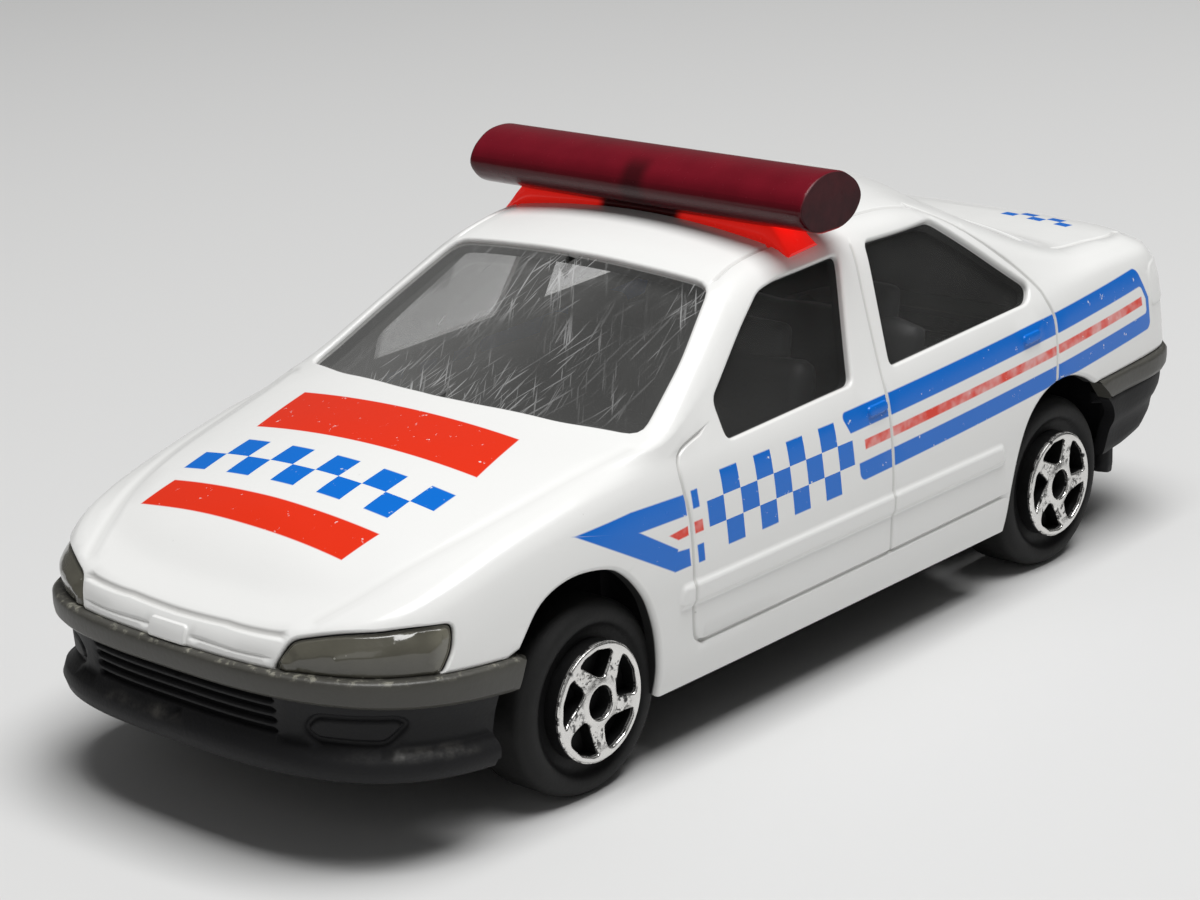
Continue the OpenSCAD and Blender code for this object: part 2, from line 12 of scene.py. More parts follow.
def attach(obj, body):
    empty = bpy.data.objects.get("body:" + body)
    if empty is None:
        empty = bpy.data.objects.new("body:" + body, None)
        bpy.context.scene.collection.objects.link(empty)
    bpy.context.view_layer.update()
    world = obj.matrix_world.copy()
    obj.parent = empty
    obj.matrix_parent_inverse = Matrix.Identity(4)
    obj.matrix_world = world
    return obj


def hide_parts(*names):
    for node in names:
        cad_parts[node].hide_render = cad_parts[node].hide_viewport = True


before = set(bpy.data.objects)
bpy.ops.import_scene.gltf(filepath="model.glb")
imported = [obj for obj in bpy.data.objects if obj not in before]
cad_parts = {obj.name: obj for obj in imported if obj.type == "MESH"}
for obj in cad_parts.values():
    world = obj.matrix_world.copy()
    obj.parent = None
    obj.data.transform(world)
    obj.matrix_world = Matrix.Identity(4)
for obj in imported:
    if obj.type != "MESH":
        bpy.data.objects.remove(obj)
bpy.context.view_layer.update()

bl_info = {
    "name": "Toy police car",
    "version": (1, 0, 0),
    "blender": (4, 5, 0),
    "location": "View3D > Sidebar > Toy car",
    "description": "Builds a die-cast toy police car around its CAD frame",
    "category": "Object",
}

MM = 0.001

# What several pieces share, in mm: the axles, and a place and the slope of the front strip's upper edge
FRONT_AXLE_X, REAR_AXLE_X, AXLE_Z = 21.5, -22.5, 5.45
STRIP_X, STRIP_Z, STRIP_SLOPE = 27.1, 9.97, 0.084
SIDES = {"left": 1, "right": -1}

# The body's outer surface, in mm: the CAD source's values, but with a roof that runs further back
NOSE_X, TAIL_X = 38.5, -38.5
CAP_F, CAP_R = 27.0, -30.0
NOSE_CAP, FLANK, TAIL_CAP = 0, 1, 2
CAP_STEPS = 7
CAP_POWER = {NOSE_CAP: 3, TAIL_CAP: 4}
SILL_H = 4.2
WALL = 1.0
# How far the ridge and the middle line stay back from the nose and from the tail
RIDGE_BACK = (3.2, 2.6)
MIDDLE_BACK = (8.5, 6.5)
# Shares of the way from the belt up to the ridge, and from there to the middle line
PILLAR_SHARES = (0.3, 0.65, 1)
ROOF_SHARES = (0.2, 0.55, 1)
# Keys of (x, value): heights of the middle line, of the shoulder and of the ridge, half widths, and the
# bow of the screens
TOP_KEYS = [(38.5, 12.3), (37.6, 13.1), (36, 14), (33, 15.5), (28, 17.1), (22, 18.2), (17.2, 18.7),
            (15.6, 19.2), (5.6, 24.8), (4, 25.4), (1, 25.9), (-4, 26.3), (-9, 26.45), (-13, 26.25),
            (-16.2, 25.7), (-18, 24.9), (-25.4, 20.6), (-26.6, 19.8), (-31.9, 19.7), (-36.5, 19.5),
            (-38.5, 18.8)]
SHOULDER_KEYS = [(38.5, 12), (36, 13.1), (31, 14.5), (27, 15.5), (20, 16.8), (14, 17), (0, 16.9), (-18, 17.7),
                 (-28, 18.3), (-35.9, 18.1), (-38.5, 17.6)]
RIDGE_Y_KEYS = [(38.5, 11.4), (27, 11.4), (20, 12), (16.6, 13.6), (14.6, 14), (5, 11), (3, 11.2), (-4, 11.5),
                (-11, 11.3), (-13, 11), (-24, 12.5), (-27, 12.6), (-38.5, 12.4)]
RIDGE_Z_KEYS = [(38.5, 12.2), (36, 13.3), (31, 15.1), (27, 16.2), (20, 17.6), (16.6, 17.9), (14.6, 18.1),
                (5, 24.2), (3, 24.6), (-4, 25), (-11, 24.9), (-13, 24.5), (-24, 19.8), (-27, 19.2),
                (-35.9, 18.9), (-38.5, 18.2)]
HALF_KEYS = [(27, 14.7), (20, 15.2), (10, 15.3), (-22.5, 15.3), (-30, 15)]
BOW_KEYS = [(27, 0), (18.6, 1), (15.6, 1.9), (5.2, 0.6), (1.2, 0), (-10, 0), (-13, -0.5), (-25, -1.5),
            (-30, 0)]
# Rows of the flank: share of the height up to the shoulder, inset of the sides, set-back of the ends
SIDE_ROWS = [(0, 0.55, 1.2), (0.1, 0.2, 0.6), (0.18, 0.12, 0.4), (0.27, 0.05, 0.2), (0.42, 0, 0.1),
             (0.53, 0, 0), (0.62, 0.12, 0), (0.78, 0.3, 0.1), (0.92, 0.65, 0.3), (1, 1.1, 0.8)]
# Stretches of the flank: from x, to x, number of sections
STATIONS = [(27, 16.6, 5), (16.6, 5.2, 6), (5.2, -13, 7), (-13, -25, 5), (-25, -30, 3)]

# Outlines on the body, in mm, as (x, z) from the side, (x, y) from above or (x, y, z)
FRONT_WINDOW = [(9.8, 16.85), (9.9, 19), (3.4, 23.4), (1.9, 23.7), (-3.75, 24), (-1.65, 17.15)]
REAR_WINDOW = [(-5.35, 17.3), (-6.4, 24.15), (-14, 23.9), (-20.5, 18.75), (-19.7, 17.9)]
WINDSCREEN = [(17.75, 0), (17.6, 3), (16.85, 8.4), (15.4, 12.7), (10.4, 11.5), (5.6, 9.75), (5.95, 5),
              (6.05, 0)]
REAR_SCREEN = [(-25.7, 0), (-25.4, 6), (-24.2, 11), (-15.4, 9.3), (-16.7, 5), (-17, 0)]
LAMP = [(37.7, 7.2, 10.7), (36.9, 8.0, 12.5), (34.5, 12, 13.0), (31.2, 13.8, 12.85), (31.45, 14, 11.5),
        (32.3, 13.9, 10.3), (35.3, 12, 10.5)]
WINDOW_CORNER, SCREEN_CORNER, LAMP_CORNER = 0.5, 1.0, 0.5
FRONT_ARCH = [(27.35, 10.3), (25.5, 12.2), (23.2, 12.95), (20.7, 12.7), (19.3, 11.9), (18.15, 10.45),
              (17.55, 9.1), (17.2, 7.8), (17, 6), (16.95, 4)]
REAR_ARCH = [(-16.2, 4), (-16.35, 6.4), (-17.1, 9), (-18.2, 10.9), (-19.7, 12), (-21.4, 12.5), (-23.2, 12.5),
             (-24.8, 12), (-26, 11.3)]
STRIP_CUT = {1: [(27.85, 7.8), (27.45, 9.1), (26.95, 10.2)], -1: [(-28.6, 9), (-27.5, 10.2), (-26.2, 11.3)]}
SKIRT_CUT = {1: [(29.4, 4), (29, 6), (28.4, 9)],
             -1: [(-28.2, 4.8), (-28.6, 6.2), (-28.9, 7.4), (-28.85, 8.5), (-28.3, 9.4), (-27.4, 10.2)]}
FRONT_DOOR = [(11.8, 17.7), (13.4, 17.3), (14.1, 16.7), (14.2, 15.4), (14, 13.5), (14.1, 11), (14.25, 8.4),
              (14.1, 6.9), (13.5, 6.5)]
DOOR_FOOT = [(13.5, 6.5), (-3.8, 6.55), (-15.2, 6.65)]
DOOR_SPLIT = [(-5.15, 24.2), (-4.8, 21.5), (-4.45, 18), (-4.3, 16), (-4.2, 13), (-4, 10.5), (-3.85, 8.5),
              (-3.8, 6.6)]
REAR_DOOR = [(-21.4, 12.5), (-21.7, 14.5), (-21.85, 16.4), (-21.5, 17.6), (-21.1, 18.6), (-19.6, 20.3),
             (-16.4, 22.9), (-13.6, 24.5)]
GUTTER = [(5.1, 9.75), (2.7, 9.6), (-3, 9.75), (-9, 9.8), (-12.4, 10)]
BONNET_EDGE = [(16.6, 13.1, 17.9), (20.8, 12.5, 17.2), (24.5, 12.1, 16.55), (27.7, 11.6, 15.9),
               (30.8, 10.8, 15.1), (33.6, 9.8, 14.2), (35.8, 8.7, 13.2)]

# Tools of the surfaces, in mm: small steps for the slopes of plain and of finished surfaces, how near to the
# middle plane counts as on it, a value next to nothing, and a mirror to the right side
NUDGE, RELIEF_NUDGE = 0.01, 0.012
ON_MIDDLE = 5e-4
TINY = 1e-9
FLIP = np.array((1, -1, 1))


def mix(a, b, share):
    """The value a share of the way from a to b."""
    return a + (b - a) * share


def keyed(x, keys):
    """A value that runs straight between the keys and stays level beyond them."""
    xs, values = zip(*sorted(keys))
    return float(np.interp(x, xs, values))


def unit(v):
    """Vectors of length one; the few without a direction point up."""
    size = np.linalg.norm(v, axis=-1, keepdims=True)
    return np.where(size < TINY, (0.0, 0.0, 1.0), v / np.maximum(size, TINY))


def smooth(value):
    """An eased step from 0 to 1."""
    value = np.clip(value, 0, 1)
    return value * value * (3 - 2 * value)


def fold(value, end):
    """A place between 0 and end, with what lies beyond folded back."""
    return end - np.abs(end - np.abs(value))


def plan_point(column, keys, inset, nose, tail):
    """A point of the outline seen from above: nose cap, flank or tail cap."""
    kind, value = column
    if kind == FLANK:
        return value, keyed(value, keys) - inset
    start, end = (CAP_F, nose) if kind == NOSE_CAP else (CAP_R, tail)
    angle, power = math.radians(value), 2 / CAP_POWER[kind]
    ahead, aside = max(math.cos(angle), 0) ** power, max(math.sin(angle), 0) ** power
    return mix(start, end, ahead), (keyed(start, keys) - inset) * aside


def outline_at(kind, values, inset=0.0, back=0.0):
    """Points of the body's outline from above, at angles of a cap or at places along the flank."""
    return [plan_point((kind, v), HALF_KEYS, inset, NOSE_X - back, TAIL_X + back) for v in values]


def section(column):
    """Control points of one section, from the sill up to the middle of the car."""
    rows = []
    for share, inset, back in SIDE_ROWS:
        x, y = plan_point(column, HALF_KEYS, inset, NOSE_X - back, TAIL_X + back)
        rows.append(np.array((x, y, mix(SILL_H, keyed(x, SHOULDER_KEYS), share))))
    x, y = plan_point(column, RIDGE_Y_KEYS, 0, NOSE_X - RIDGE_BACK[0], TAIL_X + RIDGE_BACK[1])
    belt, ridge = rows[-1], np.array((x, y, keyed(x, RIDGE_Z_KEYS)))
    rows += [mix(belt, ridge, share) for share in PILLAR_SHARES]
    middle_x = plan_point(column, HALF_KEYS, 0, NOSE_X - MIDDLE_BACK[0], TAIL_X + MIDDLE_BACK[1])[0]
    fall = keyed(x, TOP_KEYS) - ridge[2]
    for share in ROOF_SHARES:
        rest = (1 - share) ** 2
        at_x = mix(x, middle_x, share)
        rows.append(np.array((at_x + keyed(x, BOW_KEYS) * (1 - rest), y * (1 - share),
                              keyed(at_x, TOP_KEYS) - fall * rest)))
    return rows


def control_net():
    """Control points of the left half, from the nose to the tail and from the sill to the middle."""
    flank = [mix(a, b, i / n) for a, b, n in STATIONS for i in range(n)] + [CAP_R]
    columns = [(NOSE_CAP, 90 * i / CAP_STEPS) for i in range(CAP_STEPS)]
    columns += [(FLANK, x) for x in flank]
    columns += [(TAIL_CAP, 90 - 90 * i / CAP_STEPS) for i in range(1, CAP_STEPS + 1)]
    return np.array([section(c) for c in columns])


def steps_towards(a, b, goal):
    """Steps along the directions a and b that come nearest to each goal."""
    aa, ab, bb = (a * a).sum(1) + TINY, (a * b).sum(1), (b * b).sum(1) + TINY
    am, bm = (a * goal).sum(1), (b * goal).sum(1)
    det = np.maximum(aa * bb - ab * ab, TINY)
    return np.stack([(am * bb - bm * ab) / det, (bm * aa - am * ab) / det], 1)


class Sheet:
    """A surface over a flat rectangle, whose sides run about true to length in mm."""

    def __init__(self, low, high):
        self.low, self.high = np.array(low, float), np.array(high, float)

    def point(self, flat):
        raise NotImplementedError

    def spans(self, flat):
        """How far the point moves over a nudge to both sides of each flat coordinate."""
        return [self.point(flat + nudge) - self.point(flat - nudge) for nudge in ((NUDGE, 0), (0, NUDGE))]

    def normal(self, flat):
        return unit(np.cross(*self.spans(flat)))


class Skin(Sheet):
    """The left half of the body's outside: a bicubic B-spline over the control net."""

    flank_rows = slice(3, 11)
    flank_columns = slice(9, 34)
    samples_a_cell = 6
    calm_reach = 2

    def __init__(self):
        net = control_net()
        net = np.concatenate([net[1:2] * FLIP, net, net[-2:-1] * FLIP])
        self.net = np.concatenate([2 * net[:, :1] - net[:, 1:2], net, net[:, -2:-1] * FLIP], axis=1)
        self.cells = np.array(self.net.shape[:2]) - 3
        along = np.linalg.norm(np.diff(self.net[1:-1, self.flank_rows], axis=0), axis=2).mean(axis=1)
        up = np.linalg.norm(np.diff(self.net[self.flank_columns, 1:-1], axis=1), axis=2).mean(axis=0)
        self.marks = [np.concatenate([[0], np.cumsum(d)]) for d in (along, up)]
        super().__init__((0, 0), (self.marks[0][-1], self.marks[1][-1]))
        grid = [np.linspace(0, m[-1], self.samples_a_cell * n + 1) for m, n in zip(self.marks, self.cells)]
        self.samples = np.stack(np.meshgrid(*grid, indexing="ij"), -1).reshape(-1, 2)
        self.sample_points = self.point(self.samples)

    def point(self, flat):
        flat = np.asarray(flat, float)
        over = (flat[:, 0] < 0) ^ (flat[:, 0] > self.high[0]) ^ (flat[:, 1] > self.high[1])
        up = np.minimum(flat[:, 1], 2 * self.high[1] - flat[:, 1])
        inside = np.stack([fold(flat[:, 0], self.high[0]), up], 1)
        weights, first = [], []
        for k in (0, 1):
            at = np.interp(inside[:, k], self.marks[k], np.arange(len(self.marks[k])))
            cell = np.clip(at.astype(int), 0, self.cells[k] - 1)
            t = (at - cell)[:, None]
            spread = ((1 - t) ** 3, 3 * t ** 3 - 6 * t * t + 4, 1 + 3 * t + 3 * t * t - 3 * t ** 3, t ** 3)
            weights.append(np.concatenate(spread, axis=1) / 6)
            first.append(cell)
        span = np.arange(4)
        patch = self.net[(first[0][:, None] + span)[:, :, None], (first[1][:, None] + span)[:, None, :]]
        points = np.einsum("ma,mb,mabc->mc", weights[0], weights[1], patch)
        points[over, 1] *= -1
        return points

    def normal(self, flat):
        out = super().normal(flat)
        reach = self.calm_reach
        for end, way in ((0, 1), (self.high[0], -1)):
            # the net folds up at the middle of both ends: there its surroundings give the normal
            gap = np.linalg.norm(flat - (end, self.high[1]), axis=1)
            if (gap < reach).any():
                angles = np.linspace(0.1, 1.4, 9)
                near = [(end + reach * math.cos(a) * way, self.high[1] - reach * math.sin(a)) for a in angles]
                around = super().normal(np.array(near)).mean(axis=0)
                calm = smooth(gap / reach)[:, None]
                out = unit(out * calm + unit(around * (1, 0, 1)) * (1 - calm))
        return out

    def locate(self, points, axes):
        """Flat places of the surface points nearest to these, measured along the given axes."""
        points = np.array(points, float)
        gap = ((self.sample_points[None, :, axes] - points[:, None, :]) ** 2).sum(axis=2)
        flat = self.samples[gap.argmin(axis=1)].copy()
        tries, longest = 12, 0.6
        for _ in range(tries):
            a, b = (d[:, axes] / (2 * NUDGE) for d in self.spans(flat))
            move = steps_towards(a, b, points - self.point(flat)[:, axes])
            flat = np.clip(flat + np.clip(move, -longest, longest), self.low, self.high)
        return flat

    def near(self, points):
        """Flat places of the surface points nearest to these points in space."""
        return self.locate(points, [0, 1, 2])

    def trace(self, corners, closed=False, radius=0.0, step=0.45):
        """A line on the surface through these corners, rounded and cut into short steps."""
        axes = [0, 2] if len(corners[0]) == 2 else [0, 1, 2]
        return self.locate(fine_line(corners, closed, radius, step), axes)

    def trace_above(self, corners, closed=False, radius=0.0, step=0.45):
        """The same for corners that are given as seen from above."""
        return self.locate(fine_line(corners, closed, radius, step), [0, 1])


class Inset(Sheet):
    """A surface a little under another one."""

    def __init__(self, base, depth):
        super().__init__(base.low, base.high)
        self.base, self.depth = base, depth

    def point(self, flat):
        return self.base.point(flat) - self.depth * self.base.normal(flat)


def fine_line(corners, closed, radius, step):
    """The corners' line with rounded corners, in steps of about the given length."""
    corners = [np.array(c, float) for c in corners]
    count = len(corners)
    out = []
    for k, corner in enumerate(corners):
        if radius <= 0 or (not closed and k in (0, count - 1)):
            out.append(corner)
            continue
        before, after = corners[k - 1] - corner, corners[(k + 1) % count] - corner
        size_b, size_a = np.linalg.norm(before), np.linalg.norm(after)
        cut = min(radius, min(size_b, size_a) * 0.48)
        a, b = corner + before / size_b * cut, corner + after / size_a * cut
        for t in np.linspace(0, 1, 5):
            out.append(a * (1 - t) ** 2 + corner * 2 * t * (1 - t) + b * t * t)
    if closed:
        out.append(out[0])
    line = [out[0]]
    for a, b in zip(out, out[1:]):
        size = np.linalg.norm(b - a)
        if size < 1e-6:
            continue
        pieces = max(1, math.ceil(size / step))
        line += [mix(a, b, i / pieces) for i in range(1, pieces + 1)]
    return np.array(line[:-1] if closed else line)


def curve_line(corners, step=0.45):
    """A smooth curve through these corners, in short steps."""
    pts = np.array(corners, float)
    ends = np.concatenate([[2 * pts[0] - pts[1]], pts, [2 * pts[-1] - pts[-2]]])
    out = []
    for k in range(1, len(ends) - 2):
        a, b, c, d = ends[k - 1:k + 3]
        pieces = max(2, math.ceil(np.linalg.norm(c - b) / step))
        for t in np.arange(pieces) / pieces:
            out.append(0.5 * (2 * b + (c - a) * t + (2 * a - 5 * b + 4 * c - d) * t * t
                              + (3 * b - a - 3 * c + d) * t ** 3))
    return np.array(out + [pts[-1]])


def span_to(points, line, closed):
    """Distance of each point from a line of straight steps."""
    ends = np.roll(line, -1, axis=0) if closed else line[1:]
    best = np.full(len(points), np.inf)
    for a, b in zip(line, ends):
        d = b - a
        t = np.clip(((points - a) @ d) / max(d @ d, 1e-12), 0, 1)
        best = np.minimum(best, np.linalg.norm(points - a - t[:, None] * d, axis=1))
    return best


def within(points, loop):
    """Which flat points lie inside a closed loop."""
    inside = np.zeros(len(points), bool)
    x, y = points[:, 0], points[:, 1]
    for (ax, ay), (bx, by) in zip(loop, np.roll(loop, -1, axis=0)):
        if ay != by:
            inside ^= ((ay > y) != (by > y)) & (x < (bx - ax) * (y - ay) / (by - ay) + ax)
    return inside


class Relief:
    """A sheet with engraved lines, raised pads and rounded openings, meshed along all of them."""

    def __init__(self, sheet, step, keep=None):
        self.sheet, self.step, self.keep = sheet, step, keep
        self.marks, self.cuts, self.guides = [], [], []
        if keep is not None:
            self.guides.append((keep, True))

    def _mark(self, kind, line, closed, reach, gaps, profile):
        space = self.sheet.point(line)
        self.marks.append((kind, line, space, closed, reach, profile))
        for gap in gaps:
            self.guides.append((self.beside(line, closed, gap) if gap else line, closed))

    def beside(self, line, closed, gap):
        """The line moved sideways over the surface, to the left of its run."""
        run = np.roll(line, -1, 0) - np.roll(line, 1, 0) if closed else np.gradient(line, axis=0)
        a, b = (d / (2 * NUDGE) for d in self.sheet.spans(line))
        along = unit(a * run[:, :1] + b * run[:, 1:])
        side = np.cross(unit(np.cross(a, b)), along)
        return line + gap * steps_towards(a, b, side)

    def groove(self, line, half, depth, closed=False):
        """A rounded line pressed into the surface."""
        self._mark("groove", line, closed, half, (-half, -half / 2, 0, half / 2, half),
                   lambda d: -depth * (1 - np.clip(np.abs(d) / half, 0, 1) ** 2) ** 2)

    def pad(self, loop, height, edge):
        """An area raised, or sunk where the height is negative, with an eased edge."""
        self._mark("pad", loop, True, None, (-edge / 2, 0, edge / 2),
                   lambda d: height * smooth(0.5 - d / edge))

    def opening(self, loop, edge, border=None):
        """A hole with a rounded edge. border closes a loop that runs out over the sheet's side."""
        closed = border is None
        whole = loop if closed else np.concatenate([loop, border])
        if area_of(whole) < 0:
            loop, whole = loop[::-1], whole[::-1]
        self.cuts.append(whole)

        def rounded(d):
            inside = np.clip(edge - d, 0, edge)
            return np.where(d < 0, d * 25 - edge, np.sqrt(np.maximum(edge ** 2 - inside ** 2, 0)) - edge)

        space = self.sheet.point(whole)
        self.marks.append(("opening", whole, space, True, edge, rounded))
        for share in (0, 0.12, 0.4, 1):
            self.guides.append((self.beside(loop, closed, -share * edge) if share else loop, closed))

    def height(self, flat, space, only=None):
        """How far the surface stands out at these places, by all marks or by one kind."""
        out = np.zeros(len(flat))
        for kind, line, trail, closed, reach, profile in self.marks:
            if only and kind != only:
                continue
            margin = (0.2 if reach is None else reach) + 0.3
            near = np.all((space > trail.min(0) - margin) & (space < trail.max(0) + margin), axis=1)
            if not near.any():
                continue
            gap = span_to(space[near], trail, closed)
            if closed:
                gap = np.where(within(flat[near], line), -gap, gap)
            value = profile(gap)
            if reach is not None:
                value = np.where(gap > reach, 0, value)
            out[near] += value
        return out

    def place(self, flat):
        """Points of the finished surface."""
        space = self.sheet.point(flat)
        return space + self.sheet.normal(flat) * self.height(flat, space)[:, None]

    def mesh(self):
        """Flat places, points, normals and triangles of the finished surface."""
        low, high = self.sheet.low, self.sheet.high
        if self.keep is not None:
            low, high = np.maximum(low, self.keep.min(0)), np.minimum(high, self.keep.max(0))
        size = high - low
        counts = np.maximum(np.round(size / self.step).astype(int), 1)
        sides = [np.linspace(low[k], high[k], counts[k] + 1) for k in (0, 1)]
        grid = np.stack(np.meshgrid(*sides, indexing="ij"), -1).reshape(-1, 2)
        rim = np.any((np.abs(grid - low) < TINY) | (np.abs(grid - high) < TINY), axis=1)
        tree = KDTree(sum(len(line) for line, _ in self.guides) or 1)
        index = 0
        points, edges = [], []
        # first the lines that the mesh follows, then the places of a grid that keep clear of them
        for line, closed in self.guides:
            first = len(points)
            for x, y in line:
                tree.insert((x, y, 0), index)
                index += 1
                points.append(Vector((x, y)))
            edges += [(first + k, first + k + 1) for k in range(len(line) - 1)]
            if closed:
                edges.append((first + len(line) - 1, first))
        tree.balance()
        if self.keep is None:
            corner = [low, (high[0], low[1]), high, (low[0], high[1])]
            first = len(points)
            points += [Vector(c) for c in corner]
            edges += [(first + k, first + (k + 1) % 4) for k in range(4)]
        rim_clear, clear = 0.1, 0.55 * self.step
        for place, on_rim in zip(grid, rim):
            gap = tree.find((place[0], place[1], 0))[2] if index else math.inf
            if gap > (rim_clear if on_rim else clear):
                points.append(Vector(place))
        made = delaunay_2d_cdt(points, edges, [], 0, 1e-5)
        flat = np.array([tuple(p) for p in made[0]])
        tris = np.array([f for f in made[2] if len(f) == 3])
        middle = flat[tris].mean(axis=1)
        good = np.all((middle > self.sheet.low) & (middle < self.sheet.high), axis=1)
        if self.keep is not None:
            good &= within(middle, self.keep)
        for cut in self.cuts:
            good &= ~within(middle, cut)
        tris = tris[good]
        used = np.unique(tris)
        order = np.zeros(len(flat), int)
        order[used] = np.arange(len(used))
        flat, tris = np.clip(flat[used], self.sheet.low, self.sheet.high), order[tris]
        nudges = ((RELIEF_NUDGE, 0), (0, RELIEF_NUDGE))
        along, up = (self.place(flat + d) - self.place(flat - d) for d in nudges)
        return flat, self.place(flat), unit(np.cross(along, up)), tris


def area_of(loop):
    """Signed area of a flat loop."""
    x, y = loop[:, 0], loop[:, 1]
    return 0.5 * float((x * np.roll(y, -1) - np.roll(x, -1) * y).sum())


class Solid:
    """A mesh in the making: points, faces, a normal for each corner of a face and a mark at each point."""

    def __init__(self):
        self.points, self.marks, self.faces, self.normals = [], [], [], []
        self.count = 0

    def _points(self, points, marks=None):
        first = self.count
        self.points.append(np.asarray(points, float))
        self.marks.append(np.zeros(len(points)) if marks is None else marks)
        self.count += len(points)
        return first

    def add(self, points, faces, normals=None, marks=None):
        """Adds points and faces, with a normal for each point or else the faces' own."""
        first = self._points(points, marks)
        points = self.points[-1]
        for face in faces:
            self.faces.append([int(k) + first for k in face])
            if normals is None:
                a, b, c = (points[int(k)] for k in face[:3])
                own = np.cross(b - a, c - a)
                self.normals += [own / max(np.linalg.norm(own), 1e-12)] * len(face)
            else:
                self.normals += [normals[int(k)] for k in face]

    def shell(self, relief, depth, mirror=False):
        """A closed wall: a relief outside, the plain sheet moved inwards by depth and the rim between."""
        flat, points, normals, tris = relief.mesh()
        inward = -relief.sheet.normal(flat)
        plain = relief.sheet.point(flat)
        engraved = np.clip(-relief.height(flat, plain, "groove") * 6, 0, 1)
        inner = plain + inward * depth
        middle = np.abs(points[:, 1]) < ON_MIDDLE if mirror else np.zeros(len(points), bool)
        points[middle, 1] = inner[middle, 1] = 0
        edges = {}
        for tri in tris.tolist():
            for a, b in zip(tri, tri[1:] + tri[:1]):
                key = (min(a, b), max(a, b))
                edges[key] = None if key in edges else (a, b)
        rim = [e for e in edges.values() if e and not (middle[e[0]] and middle[e[1]])]
        wall = np.zeros_like(points)
        for a, b in rim:
            side = np.cross(points[b] - points[a], -inward[a])
            wall[a] += side
            wall[b] += side
        wall = unit(wall)
        count = len(points)
        both = np.concatenate([points, inner])
        # the inner points are marked -1; from this mark the enamel paints shade on the opening walls and the
        # inner side
        marks = np.concatenate([engraved, np.full(count, -1.0)])
        for way in (1, -1) if mirror else (1,):
            turn = FLIP if way < 0 else np.ones(3)
            if way > 0:
                at = np.arange(2 * count) + self._points(both, marks)
                kept = at
            else:
                fresh = np.where(~np.concatenate([middle, middle]))[0]
                at = kept.copy()
                at[fresh] = np.arange(len(fresh)) + self._points(both[fresh] * FLIP, marks[fresh])
            outer_n, inner_n, wall_n = normals * turn, inward * turn, wall * turn
            for tri in tris.tolist():
                order = tri if way > 0 else tri[::-1]
                self.faces.append([int(at[k]) for k in order])
                self.normals += [outer_n[k] for k in order]
                self.faces.append([int(at[k + count]) for k in order[::-1]])
                self.normals += [inner_n[k] for k in order[::-1]]
            for a, b in rim:
                loop = [a, a + count, b + count, b]
                loop = loop if way > 0 else loop[::-1]
                self.faces.append([int(at[k]) for k in loop])
                self.normals += [wall_n[k % count] for k in loop]

    def join(self, other, way=1):
        """Takes in another solid, mirrored to the right side where way is -1."""
        turn = np.array((1, way, 1))
        first = self.count
        for points, marks in zip(other.points, other.marks):
            self._points(points * turn, marks)
        at = 0
        for face in other.faces:
            normals = [n * turn for n in other.normals[at:at + len(face)]]
            at += len(face)
            self.faces.append([k + first for k in face[::way]])
            self.normals += normals[::way]

    def moved(self, matrix):
        """A copy under a rotation and a shift, given as a 4 x 4 matrix in mm."""
        matrix = np.array(matrix)
        copy = Solid()
        copy.points = [p @ matrix[:3, :3].T + matrix[:3, 3] for p in self.points]
        copy.normals = [matrix[:3, :3] @ n for n in self.normals]
        copy.marks, copy.faces, copy.count = self.marks, self.faces, self.count
        return copy

    def piece(self, name, body, slot, finish, replaces):
        """Makes the mesh object, puts it on its CAD body and gives it its finish."""
        mesh = bpy.data.meshes.new(name)
        mesh.from_pydata((np.concatenate(self.points) * MM).tolist(), [], self.faces)
        mesh.polygons.foreach_set("use_smooth", [True] * len(mesh.polygons))
        mesh.normals_split_custom_set([tuple(n) for n in self.normals])
        mark = mesh.attributes.new("engraved", "FLOAT", "POINT")
        mark.data.foreach_set("value", np.concatenate(self.marks).astype(np.float32))
        mesh.materials.append(finish)
        piece = bpy.data.objects.new(name, mesh)
        bpy.context.scene.collection.objects.link(piece)
        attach(piece, body)
        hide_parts(*replaces)


